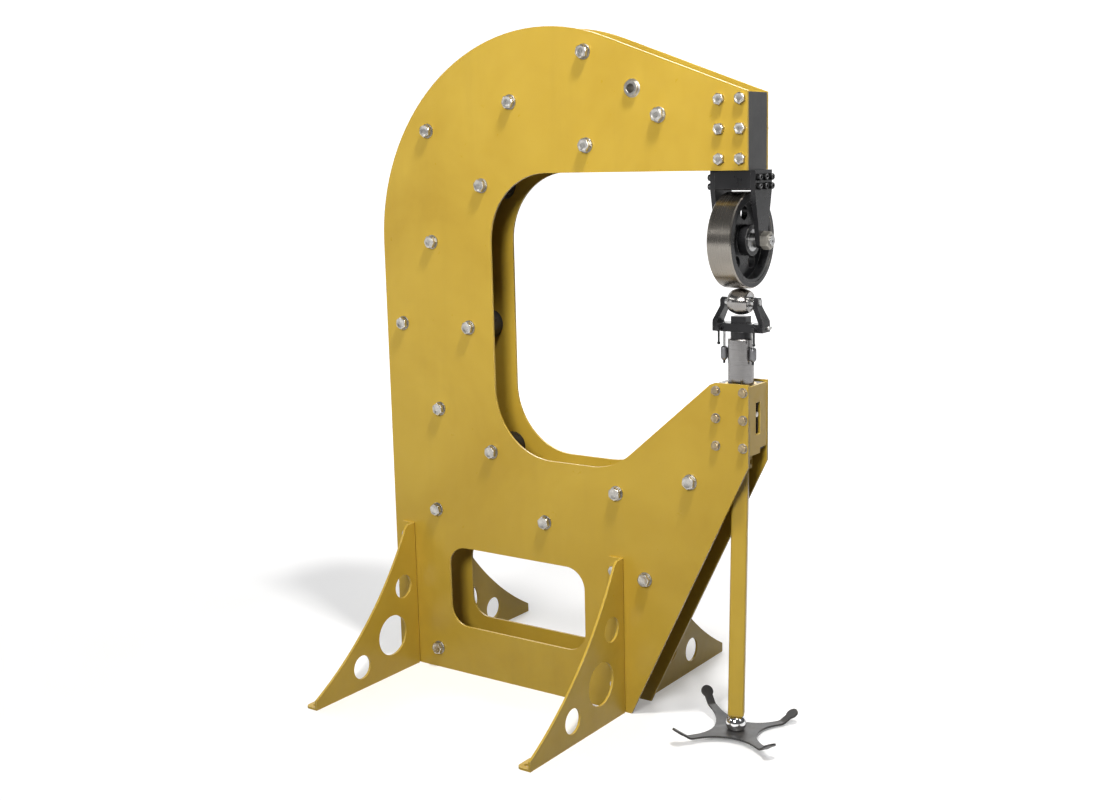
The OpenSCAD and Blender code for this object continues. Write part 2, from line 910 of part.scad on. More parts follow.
// Guide block between the plates, bored for the post and slotted for its pin
module post_guide() {
  color(dark)
    on_column()
      difference() {
        translate([guide_back_x, -half_gap, guide_bottom])
          cube([front_plate_x - guide_back_x, plate_gap, guide_top - guide_bottom]);
        translate([0, 0, guide_bottom - past])
          cylinder(h = guide_top - guide_bottom + 2 * past, r = guide_bore_r);
        translate([0, 0, guide_top - bush_length])
          cylinder(h = bush_length + past, r = bush_r);
        translate([0, -guide_pin_d / 2 - 0.1, slot_top - guide_slot_height])
          cube([front_plate_x + past, guide_pin_d + 0.2, guide_slot_height]);
        guide_screw_holes();
      }
}

module post_bush() {
  color(bronze)
    on_column()
      difference() {
        translate([0, 0, guide_top - bush_length])
          cylinder(h = bush_length, r = bush_r);
        translate([0, 0, guide_top - bush_length - past])
          cylinder(h = bush_length + 2 * past, r = post_d / 2 + fit);
        translate([0, -guide_pin_d / 2 - 0.1, slot_top - guide_slot_height])
          cube([bush_r + past, guide_pin_d + 0.2, guide_slot_height]);
      }
}

// Plate under the guide that holds the drive screw's journal
module thrust_plate() {
  color(dark)
    on_column()
      difference() {
        translate([guide_back_x, -half_gap, thrust_bottom])
          cube([front_plate_x - guide_back_x, plate_gap, thrust_t]);
        translate([0, 0, thrust_bottom - past])
          cylinder(h = thrust_t + 2 * past, r = journal_d / 2 + fit);
        guide_screw_holes();
      }
}

module thrust_washer() {
  color(bronze)
    on_column()
      translate([0, 0, thrust_top])
        difference() {
          cylinder(h = thrust_washer_t, r = collar_r);
          translate([0, 0, -past])
            cylinder(h = thrust_washer_t + 2 * past, r = journal_d / 2 + fit);
        }
}

foot_bolt_back = 26;
foot_bolts_z = [foot_height - 344, foot_height - 35];
foot_web_y = outer_y;
foot_web_holes = [[62, 245, 33], [115, 116, 57], [245, 63, 33]];

// Outline of a foot's web, in Y and Z, with its hollow edge and three round holes
module foot_web_outline() {
  top = [foot_web_y + foot_top, foot_height - 9];
  tip = [foot_reach, foot_end];
  chord = tip - top;
  half = norm(chord) / 2;
  out = [-chord.y, chord.x] / norm(chord);
  centre = (top + tip) / 2 + out * sqrt(foot_hollow * foot_hollow - half * half);
  difference() {
    polygon([[foot_web_y, 0], [foot_reach, 0], tip, top, [foot_web_y + foot_top - 12, foot_height],
      [foot_web_y, foot_height]]);
    translate(centre)
      circle(foot_hollow, $fn = 360);
    for (h = foot_web_holes)
      translate([foot_web_y + h.x, h.y])
        circle(h.z);
  }
}

// One bent foot: web, flange on the side plate and tab on the floor, in the far half
module foot(web_x) {
  difference() {
    union() {
      crosswise(web_x - foot_t, foot_t)
        foot_web_outline();
      translate([web_x - foot_flange, foot_web_y, 8])
        cube([foot_flange - foot_t / 2, foot_t, foot_height - 8]);
      linear_extrude(foot_t)
        foot_tab_outline(web_x);
    }
    for (z = foot_bolts_z)
      translate([web_x - foot_bolt_back, 0, z])
        bar_y(0, foot_reach, foot_bolt_d / 2);
    translate([web_x - anchor_back, foot_reach - anchor_inset, -past])
      cylinder(h = foot_t + 2 * past, r = anchor_d / 2);
  }
}

// Outline of the floor tab, with its outer corner rounded
module foot_tab_outline(web_x) {
  r = 14;
  difference() {
    translate([web_x - foot_flange, foot_reach - foot_tab])
      square([foot_flange - foot_t / 2, foot_tab]);
    translate([web_x - foot_flange - past, foot_reach - r])
      square([r + past, r + past]);
  }
  translate([web_x - foot_flange + r, foot_reach - r])
    circle(r);
}

module foot_far_rear() {
  color(paint)
    on_column()
      foot(rear_web_x);
}

module foot_far_front() {
  color(paint)
    on_column()
      foot(front_web_x);
}

module foot_near_rear() {
  color(paint)
    on_column()
      mirror([0, 1, 0])
        foot(rear_web_x);
}

module foot_near_front() {
  color(paint)
    on_column()
      mirror([0, 1, 0])
        foot(front_web_x);
}

module foot_bolts() {
  color(zinc)
    on_column()
      for (side = [-1, 1], web = [rear_web_x, front_web_x], z = foot_bolts_z)
        translate([web - foot_bolt_back, 0, z])
          scale([1, side, 1])
            translate([0, outer_y + foot_t, 0])
              rotate([-90, 0, 0]) {
                hex_head(flats(foot_bolt_d), head_h(foot_bolt_d));
                translate([0, 0, -foot_t - plate_t - nut_h(foot_bolt_d) - 3])
                  cylinder(h = foot_t + plate_t + nut_h(foot_bolt_d) + 3, r = foot_bolt_d / 2);
              }
}

module foot_nuts() {
  color(zinc)
    on_column()
      for (side = [-1, 1], web = [rear_web_x, front_web_x], z = foot_bolts_z)
        translate([web - foot_bolt_back, 0, z])
          nut_y(foot_bolt_d, side * half_gap, -side);
}

// Polished post, bored for the drive screw and counterbored for its nut
module post() {
  color(polished)
    on_column()
      difference() {
        translate([0, 0, post_bottom])
          cylinder(h = post_length - 2, r = post_d / 2);
        translate([0, 0, post_bottom - past])
          cylinder(h = post_length + 2 * past, r = post_bore / 2);
        translate([0, 0, post_bottom - past])
          cylinder(h = nut_length + past, r = nut_d / 2);
        translate([0, 0, guide_pin_z])
          bar_x(guide_pin_tail, post_d, guide_pin_d / 2);
      }
  color(polished)
    on_column()
      difference() {
        translate([0, 0, post_top - 2])
          cylinder(h = 2, r1 = post_d / 2, r2 = post_d / 2 - 2);
        translate([0, 0, post_top - 2 - past])
          cylinder(h = 2 + 2 * past, r = post_bore / 2);
      }
}

guide_pin_tail = nut_d / 2 + 1.5;

module post_nut() {
  color(bronze)
    on_column()
      difference() {
        translate([0, 0, post_bottom])
          cylinder(h = nut_length, r = nut_d / 2);
        translate([0, 0, post_bottom - past])
          cylinder(h = nut_length + 2 * past, r = screw_d / 2 + fit);
      }
}

// Pin in the post's side that runs in the guide's slot and stops the post turning
module guide_pin() {
  color(zinc)
    on_column()
      translate([0, 0, guide_pin_z])
        bar_x(guide_pin_tail, lower_nose - 3, guide_pin_d / 2);
}

// Cross plate of the cradle, with the boss and spigot that sit on the post
module cradle_base() {
  color(black)
    on_column()
      difference() {
        union() {
          translate([-arm_foot_in, -cradle_width / 2, cradle_bottom])
            cube([2 * arm_foot_in, cradle_width, cradle_plate_t]);
          translate([-rest_length / 2, -rest_width / 2, cradle_bottom])
            cube([rest_length, rest_width, anvil_height - anvil_r - rest_gap - cradle_bottom]);
          translate([0, 0, post_top])
            cylinder(h = cradle_boss_height, r = cradle_boss_d / 2);
          translate([0, 0, post_top - spigot_length])
            cylinder(h = spigot_length, r = post_bore / 2);
        }
        for (side = [-1, 1]) {
          translate([side * knob_at.x, knob_at.y, cradle_bottom - past])
            cylinder(h = cradle_plate_t + 2 * past, r = knob_stem_r + fit);
          translate([side * lever_at.x, 0, lever_at.z])
            bar_y(lever_at.y - past, lever_at.y + lever_screw_grip, lever_screw_r);
          for (y = cradle_screws_y)
            translate([0, y, cradle_top - cradle_plate_t / 2])
              bar_x(side > 0 ? arm_foot_in - cradle_screw_grip : -arm_foot_in - past,
                side > 0 ? arm_foot_in + past : -arm_foot_in + cradle_screw_grip, cradle_screw_d / 2);
        }
      }
}

// Rest block under the anvil, and the gap between them
rest_length = 40;
rest_width = 28;
rest_gap = 3;
lever_screw_grip = 8;
cradle_screw_d = 6;
cradle_screw_grip = 7;
cradle_screws_y = [3, 14];

// Side view of what is cut away to leave an upright top, a slant and a foot
module cradle_arm_cuts() {
  knee = cradle_top + 4;
  shoulder = anvil_height - 14;
  low = cradle_bottom - past;
  top = anvil_height + cradle_end_r + past;
  polygon([[cradle_in - past, low], [arm_foot_in, low], [arm_foot_in, knee], [cradle_in, shoulder],
    [cradle_in - past, shoulder]]);
  polygon([[arm_foot_out + past, knee + 3], [arm_foot_out, knee + 3],
    [cradle_in + cradle_arm_t, shoulder + 3], [cradle_in + cradle_arm_t, top],
    [arm_foot_out + past, top]]);
}

// End view of a cradle arm, which narrows towards its round end about the axle
module cradle_arm_end() {
  corner = [cradle_width / 2, cradle_top - anvil_height];
  lean = atan2(corner.y, corner.x) + acos(cradle_end_r / norm(corner));
  touch = (cradle_end_r - arm_overlap) * [cos(lean), sin(lean)];
  translate([0, anvil_height])
    polygon([[-corner.x, cradle_bottom - anvil_height], [-corner.x, corner.y], [-touch.x, touch.y],
      [touch.x, touch.y], corner, [corner.x, cradle_bottom - anvil_height]]);
}

module cradle_arm() {
  difference() {
    union() {
      difference() {
        crosswise(cradle_in, arm_foot_out - cradle_in)
          cradle_arm_end();
        upright(-cradle_width, 2 * cradle_width)
          cradle_arm_cuts();
      }
      translate(anvil_at)
        bar_x(cradle_in, cradle_in + cradle_arm_t, cradle_end_r);
    }
    translate(anvil_at)
      bar_x(0, arm_foot_out + past, anvil_axle_d / 2);
    for (y = cradle_screws_y)
      translate([0, y, cradle_top - cradle_plate_t / 2])
        bar_x(0, arm_foot_out + past, cradle_screw_d / 2);
  }
}

module cradle_arm_front() {
  color(black)
    on_column()
      cradle_arm();
}

module cradle_arm_rear() {
  color(black)
    on_column()
      mirror([1, 0, 0])
        cradle_arm();
}

module cradle_screws() {
  color(steel)
    on_column()
      for (side = [-1, 1], y = cradle_screws_y)
        translate([side * arm_foot_out, y, cradle_top - cradle_plate_t / 2])
          rotate([0, side * 90, 0])
            cap_screw(cradle_screw_d, cradle_arm_t + cradle_screw_grip - 1);
}

module anvil_axle() {
  reach = cradle_in + cradle_arm_t + 3;
  color(steel)
    on_column()
      translate(anvil_at)
        bar_x(-reach, reach, anvil_axle_d / 2);
}

module anvil_bearing_inners() {
  half = anvil_width / 2;
  color(steel)
    on_column()
      translate(anvil_at)
        for (side = [-1, 1])
          ring_x(side > 0 ? half - anvil_bearing_w : -cradle_in,
            side > 0 ? cradle_in : -half + anvil_bearing_w, anvil_inner_r, anvil_axle_d / 2);
}

module anvil_bearing_outers() {
  half = anvil_width / 2;
  color(dark)
    on_column()
      translate(anvil_at)
        for (side = [-1, 1])
          ring_x(side > 0 ? half - anvil_bearing_w : -half,
            side > 0 ? half : -half + anvil_bearing_w, anvil_bearing_d / 2, anvil_inner_r + fit);
}

// Crowned anvil wheel: its tread is an arc across the width
module anvil() {
  half = anvil_width / 2;
  color(polished)
    on_column()
      translate(anvil_at)
        rotate([0, 90, 0])
          rotate_extrude($fn = 120)
            difference() {
              intersection() {
                translate([anvil_r - anvil_crown, 0])
                  circle(anvil_crown, $fn = 180);
                translate([0, -half])
                  square([anvil_r, anvil_width]);
              }
              translate([-past, -half - past])
                square([anvil_inner_r + 2 + past, anvil_width + 2 * past]);
              for (z = [-half - past, half - anvil_bearing_w])
                translate([-past, z])
                  square([anvil_bearing_d / 2 + past, anvil_bearing_w + past]);
            }
}

// Levelling screw with its round knob below the cross plate
module levelling_knob(side) {
  stem_top = cradle_top + 2;
  translate([side * knob_at.x, knob_at.y, 0]) {
    translate([0, 0, knob_top])
      cylinder(h = stem_top - knob_top, r = knob_stem_r);
    translate([0, 0, knob_top - 4])
      cylinder(h = 4, r1 = knob_d / 2, r2 = knob_d / 2 - 3);
    translate([0, 0, knob_top - knob_length + 6])
      cylinder(h = knob_length - 10, r = knob_d / 2);
    translate([0, 0, knob_top - knob_length])
      cylinder(h = 6, r1 = knob_d / 2 - 4, r2 = knob_d / 2);
    translate([0, 0, knob_top - knob_length - 8])
      cylinder(h = 8, r = knob_stem_r - 0.5);
  }
}

module levelling_knob_rear() {
  color(steel)
    on_column()
      levelling_knob(-1);
}

module levelling_knob_front() {
  color(steel)
    on_column()
      levelling_knob(1);
}

// Clamp lever that hangs from its screw and ends in a ball
module clamp_lever(side) {
  mid_y = lever_at.y - face_gap - lever_hub_t / 2;
  difference() {
    union() {
      translate([side * lever_at.x, 0, lever_at.z])
        bar_y(mid_y - lever_hub_t / 2, mid_y + lever_hub_t / 2, 7.5);
      translate([side * lever_at.x, mid_y, lever_at.z - lever_length])
        cylinder(h = lever_length - 5, r = 2.5);
      translate([side * lever_at.x, mid_y, lever_at.z - lever_length])
        sphere(r = lever_ball_r);
    }
    translate([side * lever_at.x, 0, lever_at.z])
      bar_y(lever_at.y - 3 * lever_hub_t, lever_at.y + past, lever_screw_r + fit);
  }
}

module clamp_lever_rear() {
  color(black)
    on_column()
      clamp_lever(-1);
}

module clamp_lever_front() {
  color(black)
    on_column()
      clamp_lever(1);
}

module lever_screws() {
  out_y = lever_at.y - 2 * face_gap - lever_hub_t;
  color(steel)
    on_column()
      for (side = [-1, 1])
        translate([side * lever_at.x, 0, lever_at.z]) {
          bar_y(out_y, lever_at.y + lever_screw_grip - 1, lever_screw_r);
          bar_y(out_y - 4, out_y, 5);
        }
}

// Drive screw: threaded length, thrust collar, journal and the end in the socket
module drive_screw() {
  color(steel)
    on_column() {
      translate([0, 0, collar_bottom + collar_t])
        cylinder(h = screw_top - collar_bottom - collar_t, r = screw_d / 2);
      translate([0, 0, collar_bottom])
        cylinder(h = collar_t, r = collar_r);
      translate([0, 0, socket_top])
        cylinder(h = collar_bottom - socket_top, r = journal_d / 2);
      translate([0, 0, socket_top - journal_end_length])
        cylinder(h = journal_end_length, r = journal_end_d / 2);
    }
}

journal_end_length = socket_top - swivel_height - ball_r - socket_gap - 1;

// The two slots in the socket that take the ends of the cross pin
module cross_pin_slots() {
  translate([0, 0, swivel_height])
    cube([socket_d + 2 * past, cross_pin_d + 0.2, 2 * slot_half_height], center = true);
}

// Upper half of the swivel's socket, on the end of the drive screw
module swivel_socket() {
  color(paint)
    on_column()
      difference() {
        translate([0, 0, swivel_height])
          cylinder(h = socket_top - swivel_height, r = socket_d / 2);
        translate([0, 0, swivel_height])
          sphere(r = ball_r + socket_gap);
        translate([0, 0, socket_top - journal_end_length])
          cylinder(h = journal_end_length + past, r = journal_end_d / 2);
        cross_pin_slots();
      }
}

// Lower half of the socket, which keeps the ball in
module swivel_ring() {
  color(paint)
    on_column()
      difference() {
        translate([0, 0, swivel_height - swivel_ring_h])
          cylinder(h = swivel_ring_h, r = socket_d / 2);
        translate([0, 0, swivel_height])
          sphere(r = ball_r + socket_gap);
        translate([0, 0, swivel_height - swivel_ring_h - past])
          cylinder(h = swivel_ring_h, r = socket_mouth_r);
        cross_pin_slots();
      }
}

// Ball, neck and square cap at the top of the kick shaft
module swivel_ball() {
  color(steel)
    on_kick_axis()
      difference() {
        union() {
          sphere(r = ball_r);
          translate([0, 0, -shaft_start])
            cylinder(h = shaft_start, r = neck_r);
          rotate([0, 0, shaft_turn])
            translate([0, 0, -shaft_start - cap_t])
              linear_extrude(cap_t)
                round_square(shaft_w - 2 * shaft_wall, shaft_radius - shaft_wall);
        }
        bar_x(-ball_r - past, ball_r + past, cross_pin_d / 2);
      }
}

module swivel_pin() {
  color(steel)
    on_kick_axis()
      bar_x(-cross_pin_length / 2, cross_pin_length / 2, cross_pin_d / 2);
}

// Square tube with round corners
module kick_shaft() {
  color(paint)
    on_kick_axis()
      rotate([0, 0, shaft_turn])
        translate([0, 0, -shaft_end])
          linear_extrude(shaft_end - shaft_start)
            difference() {
              round_square(shaft_w, shaft_radius);
              round_square(shaft_w - 2 * shaft_wall, shaft_radius - shaft_wall);
            }
}

// Plug in the bottom of the shaft: a square collar above a round, tapered nose
module kick_shaft_plug() {
  collar_w = shaft_w - 2 * shaft_wall;
  color(paint)
    on_kick_axis()
      difference() {
        union() {
          rotate([0, 0, shaft_turn])
            translate([0, 0, -shaft_end])
              linear_extrude(20)
                round_square(collar_w, shaft_radius - shaft_wall);
          rotate([0, 0, shaft_turn])
            translate([0, 0, -shaft_end - plug_lip])
              linear_extrude(plug_lip)
                round_square(shaft_w - 3, shaft_radius - 1);
          translate([0, 0, -hub_start])
            cylinder(h = hub_start - shaft_end - plug_lip, r1 = 13, r2 = (shaft_w - 5) / 2);
          translate([0, 0, -plug_end])
            cylinder(h = plug_end - hub_start, r1 = 11, r2 = 13);
        }
        translate([0, 0, -plug_end - past])
          cylinder(h = plug_end - shaft_end + 10, r = kick_bolt_d / 2);
      }
}

// Chromed hub, round like a ball, that carries the kick wheel's plate
module kick_hub() {
  half = kick_hub_height / 2;
  color(polished)
    on_kick_axis()
      translate([0, 0, -kick_plate_top])
        rotate_extrude($fn = 96)
          difference() {
            intersection() {
              translate([0, half])
                circle(kick_hub_d / 2);
              square([kick_hub_d, kick_hub_height]);
            }
            square([kick_bolt_d / 2, kick_hub_height + past]);
            translate([0, kick_plate_top - plug_end])
              polygon([[0, 0], [11, 0], [13, plug_end - hub_start], [13, plug_end], [0, plug_end]]);
          }
}

// Outline of the kick wheel's flat part: a cross with hollows between its arms
module kick_outline() {
  straight_y = kick_neck + arm_overlap;
  difference() {
    square(2 * kick_tip_bend, center = true);
    for (a = [45 : 90 : 315])
      rotate(a)
        translate([kick_hollow_at, 0])
          circle(kick_hollow, $fn = 96);
    for (a = [0 : 90 : 270])
      rotate(a)
        for (y = [straight_y, -straight_y - kick_hollow])
          translate([kick_hollow + kick_neck, y])
            square(kick_hollow);
  }
}

// A part of that outline as a plate, between two distances along X
module kick_strip(x1, x2) {
  linear_extrude(kick_t)
    intersection() {
      kick_outline();
      translate([x1, -kick_tip_bend])
        square([x2 - x1, 2 * kick_tip_bend]);
    }
}

// Turns its children up about a line across X at half the plate's thickness
module bent(x, angle) {
  translate([x, 0, kick_t / 2])
    rotate([0, -angle, 0])
      translate([-x, 0, -kick_t / 2])
        children();
}

// Round knuckle of a bend, a little thicker than the plate
module knuckle(x, half_w) {
  translate([x, 0, kick_t / 2])
    bar_y(-half_w - knuckle_extra / 2, half_w + knuckle_extra / 2, kick_t / 2 + knuckle_extra);
}

// The end of an arm, beyond the bend of its tip
module kick_tip() {
  bent(kick_tip_bend, kick_tip_angle)
    linear_extrude(kick_t)
      union() {
        translate([kick_tip_bend, -kick_neck])
          square([kick_reach - kick_tip_bend, 2 * kick_neck]);
        translate([kick_reach, 0])
          circle(kick_tip_r);
      }
  knuckle(kick_tip_bend, kick_neck + arm_overlap);
}

// Kick wheel cut and bent from one plate: every tip turns up, and one arm is raised
module kick_wheel() {
  color(dark)
    on_kick_axis()
      translate([0, 0, -kick_plate_bottom])
        rotate([0, 0, kick_azimuth])
          difference() {
            union() {
              kick_strip(-kick_tip_bend, kick_bend_r);
              bent(kick_bend_r, kick_far_angle) {
                kick_strip(kick_bend_r, kick_tip_bend);
                kick_tip();
              }
              knuckle(kick_bend_r, kick_waist);
              for (a = [90, 180, 270])
                rotate([0, 0, a])
                  kick_tip();
            }
            translate([0, 0, -past])
              cylinder(h = kick_t + 2 * past, r = kick_bolt_d / 2);
          }
}

// Domed bolt that holds the kick wheel and its hub to the shaft
module kick_bolt() {
  tip = shaft_end - 6;
  color(steel)
    on_kick_axis() {
      translate([0, 0, -kick_plate_bottom])
        cylinder(h = kick_plate_bottom - tip, r = kick_bolt_d / 2);
      translate([0, 0, -kick_plate_bottom - kick_bolt_head_h])
        cylinder(h = kick_bolt_head_h, r1 = kick_bolt_head_r - 5, r2 = kick_bolt_head_r);
    }
}

side_plate_near();
side_plate_far();
frame_spacers();
frame_bolts();
frame_washers();
frame_nuts();
lifting_bush();
head_block();
head_bolts();
head_nuts();
yoke_block();
yoke_arm_rear();
yoke_arm_front();
yoke_arm_screws();
yoke_block_screws();
upper_axle();
upper_axle_nuts();
upper_axle_spacers();
upper_bearing_inners();
upper_bearing_outers();
upper_wheel_tread();
upper_wheel_centre();
lower_front_plate();
post_guide();
post_bush();
thrust_plate();
thrust_washer();
guide_screws();
foot_near_rear();
foot_near_front();
foot_far_rear();
foot_far_front();
foot_bolts();
foot_nuts();
post();
post_nut();
guide_pin();
cradle_base();
cradle_arm_rear();
cradle_arm_front();
cradle_screws();
anvil_axle();
anvil_bearing_inners();
anvil_bearing_outers();
anvil();
levelling_knob_rear();
levelling_knob_front();
clamp_lever_rear();
clamp_lever_front();
lever_screws();
drive_screw();
swivel_socket();
swivel_ring();
swivel_ball();
swivel_pin();
kick_shaft();
kick_shaft_plug();
kick_hub();
kick_wheel();
kick_bolt();
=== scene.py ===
"""Looks of the english wheel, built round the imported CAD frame."""
import json
import math

import bmesh
import bpy
from mathutils import Matrix, Vector


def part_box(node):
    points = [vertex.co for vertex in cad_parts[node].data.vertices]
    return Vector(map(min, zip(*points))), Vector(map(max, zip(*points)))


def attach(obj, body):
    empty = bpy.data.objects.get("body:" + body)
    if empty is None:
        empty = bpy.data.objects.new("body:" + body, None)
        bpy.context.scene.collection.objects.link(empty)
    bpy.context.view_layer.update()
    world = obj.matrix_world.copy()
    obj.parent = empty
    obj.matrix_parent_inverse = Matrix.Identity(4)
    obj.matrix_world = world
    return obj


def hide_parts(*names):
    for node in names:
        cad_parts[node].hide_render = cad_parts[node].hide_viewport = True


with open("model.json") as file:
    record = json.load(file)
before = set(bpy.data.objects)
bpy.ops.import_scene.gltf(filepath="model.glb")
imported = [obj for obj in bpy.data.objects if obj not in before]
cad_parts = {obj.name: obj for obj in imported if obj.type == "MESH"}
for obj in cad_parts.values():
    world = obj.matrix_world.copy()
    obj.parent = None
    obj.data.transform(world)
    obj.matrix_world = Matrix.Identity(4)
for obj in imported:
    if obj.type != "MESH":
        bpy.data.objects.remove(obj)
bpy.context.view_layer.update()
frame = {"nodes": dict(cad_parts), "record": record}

MM = 0.001
TAU = 2 * math.pi
BODY_OF = {n: b for b, members in frame["record"]["behaviour"]["bodies"].items() for n in members}


# Shader building

class Shader:
    """A material with short calls for its nodes."""

    def __init__(self, name, colour, rough, metal=0.0):
        self.material = bpy.data.materials.new(name)
        self.material.use_nodes = True
        self.nodes = self.material.node_tree.nodes
        self.links = self.material.node_tree.links
        self.bsdf = self.nodes["Principled BSDF"]
        self.bsdf.inputs["Base Color"].default_value = (*colour, 1)
        self.bsdf.inputs["Roughness"].default_value = rough
        self.bsdf.inputs["Metallic"].default_value = metal
        self.coords = self.nodes.new("ShaderNodeTexCoord").outputs["Object"]

    def put(self, socket, value):
        """Sets a socket to a value, or links it to another socket."""
        if isinstance(value, bpy.types.NodeSocket):
            self.links.new(value, socket)
        else:
            socket.default_value = value

    def math(self, op, a, b=0.0, clamp=False):
        n = self.nodes.new("ShaderNodeMath")
        n.operation = op
        n.use_clamp = clamp
        self.put(n.inputs[0], a)
        self.put(n.inputs[1], b)
        return n.outputs[0]

    def noise(self, scale, detail=3.0, rough=0.55, at=None, distortion=0.0):
        n = self.nodes.new("ShaderNodeTexNoise")
        n.inputs["Scale"].default_value = scale
        n.inputs["Detail"].default_value = detail
        n.inputs["Roughness"].default_value = rough
        n.inputs["Distortion"].default_value = distortion
        self.links.new(self.coords if at is None else at, n.inputs["Vector"])
        return n.outputs["Fac"]

    def voronoi(self, scale):
        n = self.nodes.new("ShaderNodeTexVoronoi")
        n.inputs["Scale"].default_value = scale
        self.links.new(self.coords, n.inputs["Vector"])
        return n.outputs["Distance"]

    def stretch(self, scale):
        """Coordinates drawn out along the axes of small scale."""
        n = self.nodes.new("ShaderNodeMapping")
        n.inputs["Scale"].default_value = scale
        self.links.new(self.coords, n.inputs["Vector"])
        return n.outputs[0]

    def span(self, value, low, high, to_low=0.0, to_high=1.0):
        """A value's run from low to high, turned into one from to_low to to_high."""
        n = self.nodes.new("ShaderNodeMapRange")
        self.put(n.inputs["Value"], value)
        for key, v in (("From Min", low), ("From Max", high), ("To Min", to_low), ("To Max", to_high)):
            n.inputs[key].default_value = v
        return n.outputs[0]

    def mix(self, factor, a, b):
        n = self.nodes.new("ShaderNodeMix")
        n.data_type = "RGBA"
        self.put(n.inputs[0], factor)
        for socket, c in ((n.inputs[6], a), (n.inputs[7], b)):
            self.put(socket, c if isinstance(c, bpy.types.NodeSocket) else (*c, 1))
        return n.outputs[2]

    def axis(self, index):
        n = self.nodes.new("ShaderNodeSeparateXYZ")
        self.links.new(self.coords, n.inputs[0])
        return n.outputs[index]

    def bump(self, height, strength, distance):
        n = self.nodes.new("ShaderNodeBump")
        n.inputs["Strength"].default_value = strength
        n.inputs["Distance"].default_value = distance
        self.links.new(height, n.inputs["Height"])
        self.links.new(n.outputs[0], self.bsdf.inputs["Normal"])

    def colour(self, value):
        self.links.new(value, self.bsdf.inputs["Base Color"])

    def rough(self, value):
        self.links.new(value, self.bsdf.inputs["Roughness"])

    def metal(self, value):
        self.links.new(value, self.bsdf.inputs["Metallic"])

    def set(self, **values):
        """Sets sockets that stay the same all over; an underscore in a name stands for a space."""
        for key, value in values.items():
            self.bsdf.inputs[key.replace("_", " ")].default_value = value

    def turned(self, centre, axis, scale):
        """A position made of the distance along a shaft and the distance from it, for lathe marks."""
        n = self.nodes.new("ShaderNodeVectorMath")
        n.operation = "SUBTRACT"
        self.links.new(self.coords, n.inputs[0])
        n.inputs[1].default_value = centre
        parts = self.nodes.new("ShaderNodeSeparateXYZ")
        self.links.new(n.outputs[0], parts.inputs[0])
        along = parts.outputs[axis]
        others = [parts.outputs[i] for i in range(3) if i != axis]
        squares = [self.math("MULTIPLY", o, o) for o in others]
        radius = self.math("SQRT", self.math("ADD", squares[0], squares[1]))
        out = self.nodes.new("ShaderNodeCombineXYZ")
        self.links.new(self.math("MULTIPLY", along, scale), out.inputs[0])
        self.links.new(self.math("MULTIPLY", radius, scale), out.inputs[1])
        return out.outputs[0]


# painted shade: the darker, browner colour that enamel takes in patches towards the floor
LOW_SHADE_COLOUR = (0.13, 0.105, 0.07)
SPECK = (0.09, 0.07, 0.05)
BARE_METAL = (0.2, 0.19, 0.18)
STAIN = (0.2, 0.16, 0.12)
# height below which the enamel gets painted shade towards the floor
LOW_SHADE_TOP = 0.42  # metres above the floor


def scaled(colour, factor):
    return tuple(min(1, c * factor) for c in colour)


def enamel(name, base, light, dark, rough=0.34, low_shade=0.14, worn=0.0):
    """Sprayed enamel: orange peel, faint stains, painted shade low down and, on edges, chips to the metal."""
    s = Shader(name, base, rough)
    broad = s.span(s.noise(2.2, 4, 0.6, distortion=0.4), 0.36, 0.66)
    tone = s.mix(broad, dark, light)
    patches = s.span(s.noise(19.0, 5, 0.62), 0.44, 0.7, 0.0, 0.25)
    tone = s.mix(patches, tone, base)
    streaks = s.span(s.noise(9.0, 5, 0.6, at=s.stretch((1.0, 1.0, 0.13))), 0.53, 0.74, 0.0, 0.2)
    tone = s.mix(streaks, tone, scaled(base, 0.72))
    # painted shade: the colour turns darker and browner in patches towards the floor; the argument after the
    # roughness sets how much
    low = s.span(s.axis(2), LOW_SHADE_TOP, 0.0, 0.0, low_shade)
    low_shade_mask = s.math("MULTIPLY", low, s.span(s.noise(26.0, 6, 0.7), 0.38, 0.66), clamp=True)
    tone = s.mix(low_shade_mask, tone, LOW_SHADE_COLOUR)
    specks = s.span(s.voronoi(330.0), 0.05, 0.11, 0.5, 0.0)
    thin = s.math("MULTIPLY", specks, s.span(s.noise(60.0, 2), 0.56, 0.62), clamp=True)
    tone = s.mix(thin, tone, SPECK)
    shine = s.span(s.noise(34.0, 5, 0.65), 0.3, 0.7, rough - 0.07, rough + 0.09)
    if worn:
        chips = s.span(s.noise(150.0, 5, 0.7), 0.62 - worn, 0.66 - worn)
        tone = s.mix(chips, tone, BARE_METAL)
        s.metal(s.math("MULTIPLY", chips, 0.85))
    s.colour(tone)
    s.rough(s.math("ADD", shine, s.math("MULTIPLY", low_shade_mask, 0.4), clamp=True))
    peel = s.math("ADD", s.noise(520.0, 2, 0.5), s.math("MULTIPLY", s.noise(150.0, 3), 0.7))
    s.bump(peel, 0.16, 0.0006)
    s.set(Coat_Weight=0.06, Coat_Roughness=0.15, Specular_IOR_Level=0.3)
    return s.material


def plain_metal(name, base, rough, mottle=0.25, grain=700.0, stained=0.25):
    """Plated or oiled metal with a fine grain, mottled shine and a little dirt."""
    s = Shader(name, base, rough, 1.0)
    cloudy = s.span(s.noise(55.0, 5, 0.65), 0.32, 0.68)
    tone = s.mix(cloudy, scaled(base, 1 - mottle), scaled(base, 1 + mottle * 0.5))
    dirt = s.span(s.noise(120.0, 6, 0.7, distortion=0.6), 0.58, 0.8, 0.0, stained)
    s.colour(s.mix(dirt, tone, STAIN))
    s.rough(s.span(s.noise(240.0, 4, 0.6), 0.25, 0.75, rough * 0.75, rough * 1.4))
    s.bump(s.math("ADD", s.noise(grain, 3), s.math("MULTIPLY", s.noise(90.0, 4), 0.5)), 0.14, 0.0003)
    return s.material


